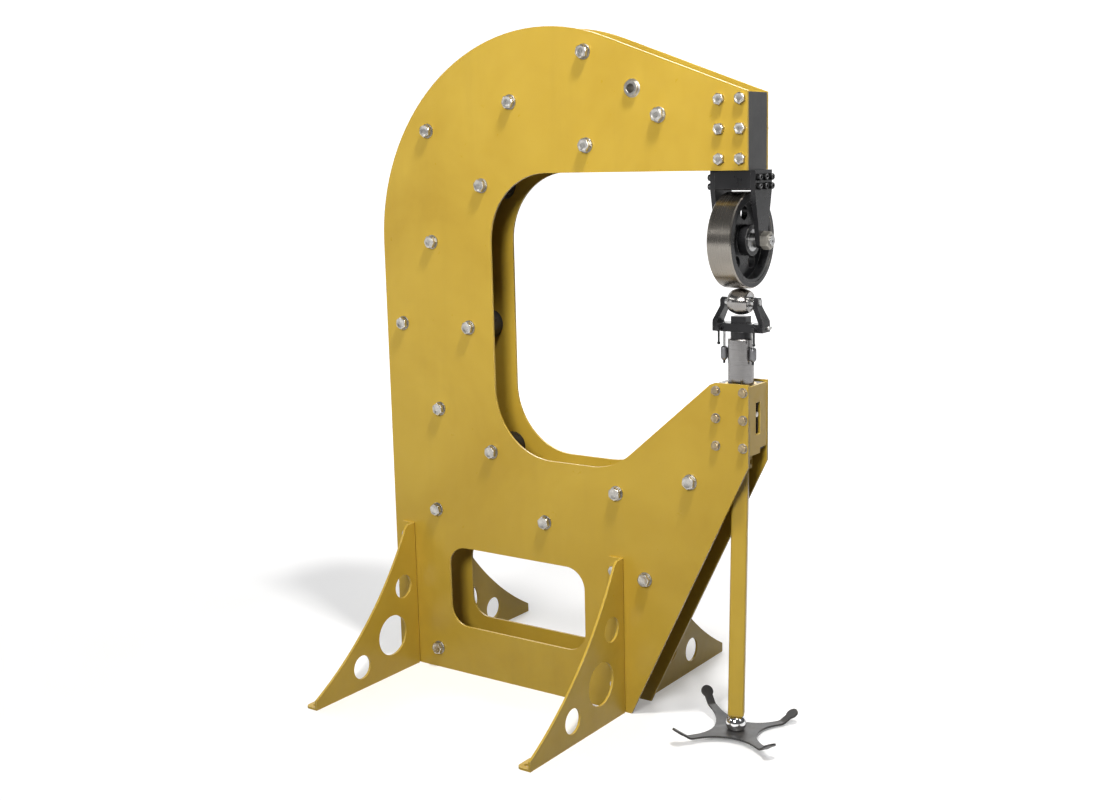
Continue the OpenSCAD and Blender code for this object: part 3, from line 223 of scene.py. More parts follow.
def turned_metal(name, base, rough, centre, axis, scale=900.0, depth=0.16):
    """Metal with the fine rings that a lathe or a grinder leaves round an axis (0, 1 or 2 for X, Y or Z)."""
    s = Shader(name, base, rough, 1.0)
    at = s.turned(centre, axis, scale)
    rings = s.noise(1.0, 4, 0.75, at=at)
    fine = s.noise(3.7, 3, 0.8, at=at)
    cloudy = s.span(s.noise(21.0, 5, 0.6, distortion=0.5), 0.35, 0.7)
    tone = s.mix(cloudy, scaled(base, 0.85), base)
    lines = s.span(rings, 0.35, 0.7, 0.0, 0.3)
    s.colour(s.mix(lines, tone, scaled(base, 0.7)))
    worked = s.span(rings, 0.2, 0.8, rough * 0.6, rough * 1.35)
    s.rough(s.math("ADD", worked, s.span(cloudy, 0, 1, 0.03, 0.0)))
    s.bump(s.math("ADD", rings, s.math("MULTIPLY", fine, 0.6)), depth, 0.00012)
    s.set(Anisotropic=0.35)
    return s.material


YELLOW = (0.53, 0.35, 0.042)
# painted shade towards the floor: 0.06 on the frame's paint, 0.14 on its edges, 0.2 on the kick wheel's paint
# and edges, none on the black, head and seal paints
paint = enamel("ochre_enamel", YELLOW, (0.57, 0.385, 0.05), (0.48, 0.31, 0.034), low_shade=0.06)
# painted highlight: the edge enamels are much lighter than the paint beside them and go on the rounded edges
# as the light that edges catch; their chips to the metal are real wear
paint_edge_highlight = enamel("ochre_enamel_highlight_edge", (0.85, 0.68, 0.28), (0.92, 0.76, 0.36), (0.7, 0.53, 0.17), worn=0.03)
black = enamel("black_enamel", (0.016, 0.016, 0.018), (0.024, 0.024, 0.026), (0.011, 0.011, 0.012), 0.3, 0.0)
black_edge_highlight = enamel("black_enamel_highlight_edge", (0.05, 0.05, 0.052), (0.08, 0.08, 0.08), (0.03, 0.03, 0.03),
                    0.3, 0.0, worn=0.06)
kick_paint = enamel("grey_black_enamel", (0.034, 0.034, 0.036), (0.044, 0.044, 0.046), (0.025, 0.025, 0.027),
                    0.42, 0.2)
kick_edge_highlight = enamel("grey_black_enamel_highlight_edge", (0.1, 0.1, 0.1), (0.15, 0.15, 0.15), (0.07, 0.07, 0.07),
                   0.4, 0.2, worn=0.05)
head_paint = enamel("head_block_grey", (0.07, 0.07, 0.071), (0.09, 0.09, 0.091), (0.052, 0.052, 0.053),
                    0.4, 0.0)
seal = enamel("seal_rubber", (0.018, 0.018, 0.018), (0.025, 0.025, 0.025), (0.012, 0.012, 0.012), 0.6, 0.0)
zinc = plain_metal("zinc_plate", (0.56, 0.54, 0.5), 0.3, mottle=0.35, stained=0.5)
zinc_dull = plain_metal("zinc_plate_dull", (0.4, 0.38, 0.34), 0.38, mottle=0.35, stained=0.5)
zinc_gold = plain_metal("zinc_plate_yellowed", (0.42, 0.33, 0.2), 0.34, mottle=0.35, stained=0.5)
dark_iron = plain_metal("oiled_iron", (0.09, 0.088, 0.086), 0.42, mottle=0.4, grain=500.0)
black_steel = plain_metal("blackened_steel", (0.06, 0.06, 0.062), 0.36, mottle=0.3)
steel = plain_metal("bright_steel", (0.55, 0.55, 0.55), 0.28, stained=0.15)
bronze = plain_metal("bronze", (0.55, 0.36, 0.14), 0.3, stained=0.2)


# Mesh building

class Piece:
    """Collects geometry and makes one object of it."""

    def __init__(self):
        self.verts = []
        self.faces = []
        self.marks = []

    def add(self, verts, faces, matrix=None, mark=0):
        base = len(self.verts)
        self.verts += [tuple(matrix @ Vector(v)) if matrix else tuple(v) for v in verts]
        self.faces += [tuple(base + i for i in f) for f in faces]
        self.marks += [mark] * len(faces)

    def make(self, name, body, materials, sharp=35.0, replaces=()):
        mesh = bpy.data.meshes.new(name)
        mesh.from_pydata(self.verts, [], self.faces)
        for polygon, mark in zip(mesh.polygons, self.marks):
            polygon.material_index = mark
        bm = bmesh.new()
        bm.from_mesh(mesh)
        bmesh.ops.dissolve_degenerate(bm, dist=1e-7, edges=bm.edges)
        bmesh.ops.recalc_face_normals(bm, faces=bm.faces)
        bm.to_mesh(mesh)
        bm.free()
        finished(mesh, name, body, materials, sharp, replaces)


def even_shading(obj):
    """Lets large flat faces rule the shading of the rounded edges beside them."""
    mod = obj.modifiers.new("shading", "WEIGHTED_NORMAL")
    mod.keep_sharp = True
    mod.weight = 100
    mod.thresh = 0.001


def finished(mesh, name, body, materials, sharp, replaces, bevel=0.0, segments=2, edge_highlight_slot=-1):
    """Shades a mesh, rounds its edges, and puts it on its body."""
    for m in materials:
        mesh.materials.append(m)
    mesh.polygons.foreach_set("use_smooth", [True] * len(mesh.polygons))
    obj = bpy.data.objects.new(name, mesh)
    bpy.context.scene.collection.objects.link(obj)
    if bevel:
        mod = obj.modifiers.new("edges", "BEVEL")
        mod.width = bevel
        mod.segments = segments
        mod.limit_method = "ANGLE"
        mod.angle_limit = math.radians(sharp)
        # the bevel faces take the edge material, a painted highlight along every rounded edge
        mod.material = edge_highlight_slot
        even_shading(obj)
    else:
        mesh.set_sharp_from_angle(angle=math.radians(sharp))
    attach(obj, body)
    if replaces:
        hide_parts(*replaces)


def refined(node, materials, bevel=0.6, segments=2, edge_highlight_slot=1, sharp=34.0, bends=()):
    """A CAD node's shape with flat faces joined up and its edges rounded; the bevel is in millimetres."""
    mesh = frame["nodes"][node].data.copy()
    mesh.materials.clear()
    bm = bmesh.new()
    bm.from_mesh(mesh)
    bmesh.ops.remove_doubles(bm, verts=bm.verts, dist=2e-6)
    bmesh.ops.dissolve_limit(bm, angle_limit=math.radians(0.4), verts=bm.verts, edges=bm.edges)
    for test, offset, steps in bends:
        edges = [e for e in bm.edges if test(e.verts[0].co) and test(e.verts[1].co)]
        if edges:
            bmesh.ops.bevel(bm, geom=edges, offset=offset, segments=steps, profile=0.5, affect="EDGES")
    for f in bm.faces:
        f.material_index = 0
    bm.to_mesh(mesh)
    bm.free()
    mesh.name = node + "_shape"
    if len(materials) == 1:
        edge_highlight_slot = -1
    finished(mesh, node + "_look", BODY_OF[node], materials, sharp, (node,),
             bevel * MM, segments, edge_highlight_slot)


def near_line(x, y):
    """A test for points on the upright line through (x, y)."""
    return lambda co: abs(co.x - x) < 1e-5 and abs(co.y - y) < 1e-5


def islands(node):
    """The box of each separate solid of a CAD node, as (low corner, high corner)."""
    bm = bmesh.new()
    bm.from_mesh(frame["nodes"][node].data)
    bmesh.ops.remove_doubles(bm, verts=bm.verts, dist=2e-6)
    todo = set(bm.verts)
    found = []
    while todo:
        stack = [todo.pop()]
        group = []
        while stack:
            v = stack.pop()
            group.append(v.co.copy())
            for e in v.link_edges:
                o = e.other_vert(v)
                if o in todo:
                    todo.remove(o)
                    stack.append(o)
        low = Vector([min(c[i] for c in group) for i in range(3)])
        high = Vector([max(c[i] for c in group) for i in range(3)])
        found.append((low, high))
    bm.free()
    return sorted(found, key=lambda b: tuple(round(v, 4) for v in b[0]))


def rings_mesh(rings, closed=False, cap_first=False, cap_last=False):
    """Joins rings of equal length into a skin, with its ends joined up or capped."""
    n = len(rings[0])
    verts = [p for ring in rings for p in ring]
    faces = []
    count = len(rings)
    for k in range(count if closed else count - 1):
        a, b = k * n, ((k + 1) % count) * n
        faces += [(a + i, a + (i + 1) % n, b + (i + 1) % n, b + i) for i in range(n)]
    if cap_first:
        faces.append(tuple(reversed(range(n))))
    if cap_last:
        faces.append(tuple(range((count - 1) * n, count * n)))
    return verts, faces


def circle(r, z, n=48, shape=None):
    """A ring at height z; shape turns the angle into a factor on the radius."""
    out = []
    for i in range(n):
        a = TAU * i / n
        k = r * (shape(a) if shape else 1.0)
        out.append((k * math.cos(a), k * math.sin(a), z))
    return out


def lathe(profile, n=96, closed=False, **caps):
    """Turns (radius, height) points about Z."""
    return rings_mesh([circle(r, z, n) for r, z in profile], closed, **caps)


def across(node_box):
    """Middle of a box, its radius across and half its length along X."""
    low, high = node_box
    return (low + high) / 2, (high.z - low.z) / 2, (high.x - low.x) / 2


def hexagon(a):
    """Radius of a hexagon at an angle, for one unit between its middle and its flats."""
    turn = (a + math.pi / 6) % (math.pi / 3) - math.pi / 6
    return 1 / math.cos(turn)


HEAD_SHARE = 0.63  # height of a bolt's head as a share of the thread
FLATS_SHARE = 1.5  # width across its flats as a share of the thread


def hex_body(af, h, bore=0.0):
    """A hexagon head or nut with turned-off corners and a washer face, seat at 0 and top at h."""
    n = 48
    flat = af / 2
    rim = flat * 0.95

    def crown(drop_from, sign):
        ring = []
        for i in range(n):
            a = TAU * i / n
            r = flat * hexagon(a)
            drop = (r - rim) * math.tan(math.radians(30))
            ring.append((r * math.cos(a), r * math.sin(a), drop_from - sign * drop))
        return ring

    step = h * 0.05
    rings = [circle(rim * 0.97, 0, n), circle(rim * 0.97, step, n), crown(step * 1.2, -1 if bore else 0),
             crown(h, 1), circle(rim, h, n)]
    if bore:
        lead = bore * 0.08
        rings += [circle(bore + lead, h, n), circle(bore, h - lead, n), circle(bore, lead, n),
                  circle(bore + lead, 0, n)]
        return rings_mesh(rings, closed=True)
    dish = h - step * 0.7
    rings += [circle(rim * 0.86, h, n), circle(rim * 0.8, dish, n), circle(rim * 0.3, dish, n)]
    return rings_mesh(rings, cap_first=True, cap_last=True)


def thread(r, pitch, low, high, n=24, depth=0.6):
    """A helical thread about Z between two heights, with a chamfered top; its depth is in pitches."""
    root = r - depth * pitch
    turns = math.ceil((high - low) / pitch) + 1
    profile = ((root, 0.0), (root, 0.12), (r, 0.45), (r, 0.6), (root, 0.93))
    rows = []
    for i in range(turns * n + 1):
        a = TAU * i / n
        row = []
        for rad, t in profile:
            z = min(max(low + pitch * (i / n - 1 + t), low), high)
            k = min(rad, root + max(0.0, high - z) * 0.9 + 0.2 * (r - root))
            row.append((k * math.cos(a), k * math.sin(a), z))
        rows.append(row)
    m = len(profile)
    verts = [p for row in rows for p in row]
    faces = []
    for i in range(len(rows) - 1):
        for k in range(m - 1):
            faces.append((i * m + k, (i + 1) * m + k, (i + 1) * m + k + 1, i * m + k + 1))
        if i + n + 1 < len(rows):
            faces.append((i * m + m - 1, (i + 1) * m + m - 1, (i + n + 1) * m, (i + n) * m))
    return verts, faces


def bolt_mesh(piece, matrix, d, shank, threaded, pitch):
    """A bolt with its seat at 0, its head above and its shank below."""
    piece.add(*hex_body(FLATS_SHARE * d, HEAD_SHARE * d), matrix)
    r = d / 2
    plain = shank - threaded
    piece.add(*lathe([(r, 0), (r, -plain), (r * 0.86, -plain - r * 0.1)], 32), matrix)
    flip = matrix @ Matrix.Diagonal((1, -1, -1, 1))
    piece.add(*thread(r, pitch, plain, shank), flip)
    end = [(r * 0.9, shank - pitch * 1.2), (r * 0.84, shank - 0.4 * MM), (r * 0.78, shank)]
    piece.add(*lathe(end, 24, cap_last=True), flip)


def pointing(axis, sign, at):
    """Matrix that sends +Z to an axis, at a point."""
    quarter = sign * math.pi / 2
    turn = Matrix.Rotation(quarter, 4, "Y") if axis == "x" else Matrix.Rotation(-quarter, 4, "X")
    return Matrix.Translation(at) @ turn


FRAME_THREAD = 20 * MM
HEAD_THREAD = 16 * MM
FOOT_THREAD = 16 * MM


def about(step):
    """A turn about Z of so many degrees, so that the hexagons of a row don't all stand alike."""
    return Matrix.Rotation(math.radians(step % 60), 4, "Z")


def washer_profile(r, bore, t, e):
    return [(r - e, 0), (r, e), (r, t - e), (r - e, t), (bore, t), (bore, 0)]


def frame_fasteners():
    """Frame bolts, washers and nuts, head bolts and their nuts, all across the frame."""
    for node, d, pitch in (("frame_bolts", FRAME_THREAD, 2.5 * MM), ("head_bolts", HEAD_THREAD, 2.0 * MM)):
        piece = Piece()
        for i, (low, high) in enumerate(islands(node)):
            mid = (low + high) / 2
            seat = Vector((mid.x, low.y + HEAD_SHARE * d, mid.z))
            bolt_mesh(piece, pointing("y", -1, seat) @ about(i * 37), d, high.y - seat.y, 30 * MM, pitch)
        piece.make(node + "_look", "frame", [zinc], replaces=(node,))
    for node, d in (("frame_nuts", FRAME_THREAD), ("head_nuts", HEAD_THREAD)):
        piece = Piece()
        for i, (low, high) in enumerate(islands(node)):
            mid = (low + high) / 2
            turn = pointing("y", 1, Vector((mid.x, low.y, mid.z))) @ about(i * 23)
            piece.add(*hex_body(FLATS_SHARE * d, high.y - low.y, d / 2), turn)
        piece.make(node + "_look", "frame", [zinc], replaces=(node,))
    piece = Piece()
    for low, high in islands("frame_washers"):
        mid = (low + high) / 2
        t = high.y - low.y
        profile = washer_profile((high.x - low.x) / 2, FRAME_THREAD / 2 + 0.3 * MM, t, t * 0.18)
        piece.add(*lathe(profile, 48, closed=True), pointing("y", 1, Vector((mid.x, low.y, mid.z))))
    piece.make("frame_washers_look", "frame", [zinc_dull], replaces=("frame_washers",))


def outward(low, high):
    """Side of the frame that a fastener is on, its middle and its outer end."""
    side = 1 if low.y + high.y > 0 else -1
    return side, (low + high) / 2, high.y if side > 0 else low.y


def side_fasteners():
    """Screws of the lower head and the bolts of the feet, which point outwards on both sides."""
    piece = Piece()
    d, washer = 12 * MM, 2 * MM
    head = HEAD_SHARE * d
    for i, (low, high) in enumerate(islands("guide_screws")):
        side, mid, out = outward(low, high)
        turn = pointing("y", side, Vector((mid.x, out - side * (head + washer), mid.z)))
        piece.add(*lathe(washer_profile(d, d / 2, washer, 0.3 * MM), 40, closed=True), turn, 1)
        piece.add(*hex_body(FLATS_SHARE * d, head), turn @ Matrix.Translation((0, 0, washer)) @ about(i * 29))
        piece.add(*lathe([(d / 2, 0), (d / 2, -2 * d)], 32, cap_last=True), turn)
    piece.make("guide_screws_look", "frame", [zinc_gold, zinc_dull], replaces=("guide_screws",))
    piece = Piece()
    head = HEAD_SHARE * FOOT_THREAD
    for i, (low, high) in enumerate(islands("foot_bolts")):
        side, mid, out = outward(low, high)
        turn = pointing("y", side, Vector((mid.x, out - side * head, mid.z))) @ about(i * 31)
        bolt_mesh(piece, turn, FOOT_THREAD, high.y - low.y - head, 18 * MM, 2 * MM)
    piece.make("foot_bolts_look", "frame", [zinc], replaces=("foot_bolts",))
    piece = Piece()
    for i, (low, high) in enumerate(islands("foot_nuts")):
        side, mid, out = outward(low, high)
        turn = pointing("y", -side, Vector((mid.x, out, mid.z))) @ about(i * 17)
        piece.add(*hex_body(FLATS_SHARE * FOOT_THREAD, high.y - low.y, FOOT_THREAD / 2), turn)
    piece.make("foot_nuts_look", "frame", [zinc], replaces=("foot_nuts",))


KNURLS = 40


def knurled(a):
    """Factor on the radius that makes every second point of a head a groove."""
    return 1.0 if round(a / TAU * 2 * KNURLS) % 2 else 0.965


def cap_screw_mesh(piece, matrix, d, length):
    """A socket cap screw: knurled head as high as the thread is wide, hexagon socket, shank down."""
    r, h, n = 0.78 * d, d, 2 * KNURLS
    rings = [circle(r * 0.94, 0, n), circle(r, h * 0.06, n, knurled), circle(r, h * 0.86, n, knurled),
             circle(r * 0.985, h * 0.88, n), circle(r * 0.9, h, n), circle(0.44 * d, h, n, hexagon),
             circle(0.4 * d, h - 0.04 * d, n, hexagon), circle(0.4 * d, 0.45 * d, n, hexagon)]
    piece.add(*rings_mesh(rings, cap_first=True, cap_last=True), matrix)
    piece.add(*lathe([(d / 2, 0), (d / 2, -length * 0.94), (d * 0.42, -length)], 24, cap_last=True), matrix)


def cap_screws():
    """Socket screws of the yoke's arms, of the yoke's block and of the cradle."""
    for node, d, metal in (("yoke_arm_screws", 10 * MM, black_steel), ("cradle_screws", 6 * MM, steel)):
        piece = Piece()
        screws = islands(node)
        between = sum((low.x + high.x) / 2 for low, high in screws) / len(screws)
        for i, (low, high) in enumerate(screws):
            mid = (low + high) / 2
            side = 1 if mid.x > between else -1
            out = high.x if side > 0 else low.x
            turn = pointing("x", side, Vector((out - side * d, mid.y, mid.z))) @ about(i * 19)
            cap_screw_mesh(piece, turn, d, high.x - low.x - d)
        piece.make(node + "_look", BODY_OF[node], [metal], replaces=(node,), sharp=50)
    node = "yoke_block_screws"
    piece = Piece()
    d = 12 * MM
    for i, (low, high) in enumerate(islands(node)):
        mid = (low + high) / 2
        seat = Matrix.Translation((mid.x, mid.y, low.z + d))
        turn = seat @ Matrix.Rotation(math.pi, 4, "X") @ Matrix.Rotation(i * 0.3, 4, "Z")
        cap_screw_mesh(piece, turn, d, high.z - low.z - d)
    piece.make(node + "_look", "frame", [steel], replaces=(node,), sharp=50)


# Frame

def plates_and_blocks():
    """Painted plates, the dark parts between them and the yoke."""
    for node in ("side_plate_near", "side_plate_far"):
        refined(node, [paint, paint_edge_highlight], 0.9, 2)
    refined("lower_front_plate", [paint, paint_edge_highlight], 0.7, 2)
    refined("head_block", [head_paint, kick_edge_highlight], 1.0, 2)
    refined("frame_spacers", [black, black_edge_highlight], 0.8, 2)
    for node in ("post_guide", "thrust_plate"):
        refined(node, [dark_iron], 0.8, 2)
    refined("yoke_block", [black, black_edge_highlight], 1.0, 3)
    for node in ("yoke_arm_rear", "yoke_arm_front"):
        refined(node, [black, black_edge_highlight], 1.2, 3)
    refined("lifting_bush", [zinc], 1.2, 3)
    for node in ("post_bush", "thrust_washer"):
        refined(node, [bronze], 0.4, 2)


FOOT_SHEET = 6 * MM


def feet():
    """Feet bent from one sheet each, with rounded bends at the side plate."""
    for node in ("foot_near_rear", "foot_near_front", "foot_far_rear", "foot_far_front"):
        low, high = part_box(node)
        side = 1 if low.y > 0 else -1
        flange = low.y if side > 0 else high.y
        outside = near_line(high.x, flange)
        inside = near_line(high.x - FOOT_SHEET, flange + side * FOOT_SHEET)
        refined(node, [paint, paint_edge_highlight], 0.6, 2, bends=((outside, 5.5 * MM, 6), (inside, 2.5 * MM, 4)))


# Upper wheel and yoke

def upper_wheel():
    """Polished tread with rolled edges, black centre and shielded bearings."""
    at, r, half = across(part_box("upper_wheel_tread"))
    ring, lip = 14 * MM, 4.5 * MM  # depth of the tread's ring, and of the bright rim on its sides
    c, soft = 2.5 * MM, 0.5 * MM
    side = [(r - ring, half - soft), (r - ring + soft, half), (r - lip, half), (r - c - soft, half),
            (r - c, half - soft * 0.35), (r - soft, half - c + soft * 0.3), (r, half - c - soft)]
    profile = [(radius, -x) for radius, x in side] + side[::-1]
    steps = 192
    painted = {0, 1, 10, 11}  # the rings of faces inside the rims
    piece = Piece()
    piece.add(*lathe(profile, steps, closed=True), pointing("x", 1, at))
    piece.marks = [1 if i // steps in painted else 0 for i in range(len(piece.faces))]
    piece.make("upper_wheel_tread_look", "upper_wheel",
               [turned_metal("tread_polish", (0.34, 0.315, 0.28), 0.24, at, 0, 420.0, 0.04), black],
               sharp=24, replaces=("upper_wheel_tread",))
    refined("upper_wheel_centre", [black, black_edge_highlight], 1.2, 3)
    shields(at, half, 18.5 * MM, 26 * MM, "upper_wheel", "upper_wheel_shields")
    refined("upper_bearing_inners", [turned_metal("race_steel", (0.6, 0.6, 0.6), 0.2, at, 0)], 0.5, 2)
    refined("upper_bearing_outers", [turned_metal("race_steel_outer", (0.5, 0.5, 0.5), 0.24, at, 0)], 0.5, 2)
    refined("upper_axle", [turned_metal("axle_steel", (0.5, 0.5, 0.5), 0.25, at, 0)], 0.8, 3)
    refined("upper_axle_nuts", [zinc_dull], 0.5, 2)
    refined("upper_axle_spacers", [turned_metal("spacer_steel", (0.45, 0.45, 0.45), 0.3, at, 0)], 0.5, 2)


def shields(at, half, inner, outer, body, name):
    """Pressed shields that close the bearings, just inside their faces."""
    out = half - 0.8 * MM
    edge, back, slope = out - 0.6 * MM, out - 1.5 * MM, 1.2 * MM
    low, high = inner + 1.0 * MM, outer - 1.2 * MM
    profile = [(low, back), (low, edge), (low + slope, out), (high - slope, out), (high, edge), (high, back)]
    piece = Piece()
    for side in (-1, 1):
        piece.add(*lathe(profile, 72, closed=True), pointing("x", side, at))
    piece.make(name, body, [seal], sharp=40)


# Anvil, cradle and post

def anvil_group():
    """Crowned anvil with shielded bearings, in its cradle with the clamp levers."""
    at, r, half = across(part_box("anvil"))
    crown, bore, e = 51 * MM, 17.5 * MM, 0.7 * MM
    steps = 28
    points = []
    for i in range(1, steps):
        x = -half + 2 * half * i / steps
        points.append((r - crown + math.sqrt(crown * crown - x * x), x))
    shoulder = r - crown + math.sqrt(crown * crown - half * half) - e
    end = [(bore, half - e * 0.4), (bore + e, half), (shoulder, half)]
    profile = [(radius, -x) for radius, x in end] + points + end[::-1]
    piece = Piece()
    piece.add(*lathe(profile, 144, closed=True), pointing("x", 1, at))
    piece.make("anvil_look", "anvil_wheel",
               [turned_metal("anvil_polish", (0.4, 0.385, 0.37), 0.19, at, 0, 500.0, 0.05)], sharp=24,
               replaces=("anvil",))
    shields(at, half, 12 * MM, bore, "anvil_wheel", "anvil_shields")
    refined("anvil_bearing_inners", [turned_metal("anvil_race", (0.6, 0.6, 0.6), 0.2, at, 0)], 0.4, 2)
    refined("anvil_bearing_outers", [turned_metal("anvil_race_outer", (0.5, 0.5, 0.5), 0.24, at, 0)], 0.4, 2)
    refined("anvil_axle", [turned_metal("anvil_axle_steel", (0.5, 0.5, 0.5), 0.25, at, 0)], 0.8, 3)
    for node in ("cradle_arm_rear", "cradle_arm_front"):
        refined(node, [black, black_edge_highlight], 1.0, 3)
    refined("cradle_base", [black, black_edge_highlight], 1.0, 3)
    for node in ("clamp_lever_rear", "clamp_lever_front"):
        refined(node, [black], 0.5, 3, sharp=50)
    refined("lever_screws", [black_steel], 0.6, 3)


def post_group():
    """Ground post, the nut inside it and the pin that keeps it from turning."""
    low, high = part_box("post")
    metal = turned_metal("post_steel", (0.33, 0.32, 0.315), 0.24, (low + high) / 2, 2, 320.0, 0.05)
    refined("post", [metal], 0.6, 3)
    refined("post_nut", [bronze], 0.5, 2)
    refined("guide_pin", [zinc], 1.2, 3)


def fluted(a):
    """Factor on the radius that cuts 24 shallow flutes."""
    return 1.0 - 0.045 * (0.5 + 0.5 * math.cos(24 * a)) ** 2


def knobs():
    """Fluted knobs on bright stems below the cradle."""
    outline = ((0, 0.55), (2.2, 0.78), (5.5, 0.97), (6.5, 1.0), (27.5, 1.0), (28.6, 0.985), (30.6, 0.9),
               (33.2, 0.68), (34, 0.45))  # height in millimetres and share of the radius
    tip_length = 8 * MM
    for node in ("levelling_knob_rear", "levelling_knob_front"):
        low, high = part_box(node)
        r = (high.x - low.x) / 2
        place = Matrix.Translation(((low.x + high.x) / 2, (low.y + high.y) / 2, 0))
        start = low.z + tip_length
        end = start + outline[-1][0] * MM
        rings = [circle(r * k, start + z * MM, 96, fluted if k == 1.0 else None) for z, k in outline]
        stem = [(3.4 * MM, end - 1 * MM), (3.4 * MM, high.z - 0.5 * MM), (2.9 * MM, high.z)]
        tip = [(2.4 * MM, low.z), (3.0 * MM, low.z + 0.6 * MM), (3.0 * MM, start + 1 * MM)]
        piece = Piece()
        piece.add(*rings_mesh(rings, cap_first=True, cap_last=True), place)
        piece.add(*lathe(stem, 32, cap_first=True, cap_last=True), place, 1)
        piece.add(*lathe(tip, 32, cap_first=True, cap_last=True), place, 2)
        grey = plain_metal(node + "_grey", (0.23, 0.23, 0.24), 0.38)
        piece.make(node + "_look", BODY_OF[node], [grey, steel, black_steel], sharp=40,
                   replaces=(node,))


# Drive

kick_turn = next(j for j in frame["record"]["behaviour"]["joints"] if j["name"] == "kick_turn")
lean = math.atan2(kick_turn["axis"][1], kick_turn["axis"][2])
# Places what hangs from the swivel: its middle is the origin, and the leaning shaft is Z
KICK = Matrix.Translation(kick_turn["pos_m"]) @ Matrix.Rotation(-lean, 4, "X")
KICK_PLATE = 5 * MM
KICK_UNDERSIDE = -691.5 * MM
KICK_TURN = math.radians(146.9)
ARMS = [(math.cos(k * math.pi / 2), math.sin(k * math.pi / 2)) for k in range(4)]


def drive():
    """Drive screw with its collar, the swivel and the square kick shaft."""
    low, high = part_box("drive_screw")
    mid = (low + high) / 2
    r, collar, neck, pin, e = 12.7 * MM, 22 * MM, 10 * MM, 8 * MM, 0.6 * MM
    root = r * 0.84
    top = low.z + 53 * MM
    below = top - 9 * MM
    neck_end = low.z + 10.7 * MM
    core = [(root, top - 2 * MM), (root, high.z - 1 * MM), (r * 0.7, high.z)]
    foot = [(root, top), (collar - e, top), (collar, top - e), (collar, below + e), (collar - e, below),
            (neck, below), (neck, neck_end), (pin, neck_end), (pin, low.z + e), (pin - e, low.z)]
    place = Matrix.Translation((mid.x, mid.y, 0))
    piece = Piece()
    piece.add(*thread(r, 5.08 * MM, top, high.z, 40, 0.42), place)
    piece.add(*lathe(core, 40, cap_last=True), place)
    piece.add(*lathe(foot, 64, cap_last=True), place)
    metal = turned_metal("screw_steel", (0.5, 0.5, 0.5), 0.26, mid, 2)
    piece.make("drive_screw_look", "screw", [metal], sharp=34, replaces=("drive_screw",))
    for node in ("swivel_socket", "swivel_ring"):
        refined(node, [paint, paint_edge_highlight], 0.8, 3)
    refined("swivel_ball", [steel], 0.5, 2)
    refined("swivel_pin", [steel], 0.5, 2)
    refined("kick_shaft", [paint, paint_edge_highlight], 0.7, 2)
    refined("kick_shaft_plug", [paint, paint_edge_highlight], 0.8, 3, edge_highlight_slot=-1)
    refined("kick_bolt", [dark_iron], 0.8, 3)


def chrome(name, base=(0.82, 0.82, 0.83), smudge=(0.5, 0.48, 0.45)):
    s = Shader(name, base, 0.07, 1.0)
    s.rough(s.span(s.noise(60.0, 5), 0.3, 0.75, 0.04, 0.16))
    s.colour(s.mix(s.span(s.noise(35.0, 6, 0.7), 0.55, 0.8, 0.0, 0.5), base, smudge))
    s.bump(s.noise(220.0, 3), 0.05, 0.0002)
    return s.material


def hub():
    """Chromed hub, a ball cut flat at both ends, with a fine step at each."""
    base = KICK_UNDERSIDE + KICK_PLATE
    ball, half, e = 26 * MM, 18 * MM, 0.5 * MM
    flat = math.sqrt(ball * ball - half * half)
    top = base + 2 * half
    bolt_hole, shaft_hole = 6 * MM, 13.4 * MM
    steps = 32
    points = []
    for i in range(1, steps):
        z = -half + 2 * half * i / steps
        points.append((math.sqrt(ball * ball - z * z), base + half + z))
    profile = [(bolt_hole, base), (flat - e, base), (flat, base + e)] + points
    profile += [(flat, top - e), (flat - e, top), (shaft_hole, top), (shaft_hole, top - 3 * MM)]
    piece = Piece()
    piece.add(*lathe(profile, 96), KICK)
    metal = chrome("hub_chrome")
    piece.make("kick_hub_look", "kick", [metal], sharp=34, replaces=("kick_hub",))


def kick_outline():
    """The outline of the flat plate before it is bent, in millimetres, arm by arm."""
    hollow, neck, reach, tip = 100.0, 10.5, 167.7, 16.0  # radius between arms, half width, length, tip radius
    c = hollow + neck
    cut = math.asin(neck / tip)
    start = reach - tip * math.cos(cut)
    straight = [c + 8 * i for i in range(int((start - c) / 8))]
    one = [(x, -neck) for x in straight]
    for i in range(41):
        a = (math.pi - cut) * (i / 20 - 1)
        one.append((reach + tip * math.cos(a), tip * math.sin(a)))
    one += [(x, neck) for x in straight[::-1]]
    for i in range(1, 48):
        a = math.radians(270 - 90 * i / 48)
        one.append((c + hollow * math.cos(a), c + hollow * math.sin(a)))
    return [(x * d[0] - y * d[1], x * d[1] + y * d[0]) for d in ARMS for x, y in one]


def fold(co, direction, start, angle, radius):
    """Bends a point up about a line across a direction, on a smooth arc."""
    s = co.x * direction[0] + co.y * direction[1]
    begin = start - radius * math.tan(angle / 2)
    if s <= begin:
        return co
    phi = min((s - begin) / radius, angle)
    rest = max(0.0, s - begin - radius * angle)
    flat = begin + (radius - co.z) * math.sin(phi) + rest * math.cos(phi)
    rise = radius - (radius - co.z) * math.cos(phi) + rest * math.sin(phi)
    return Vector((co.x + (flat - s) * direction[0], co.y + (flat - s) * direction[1], rise))


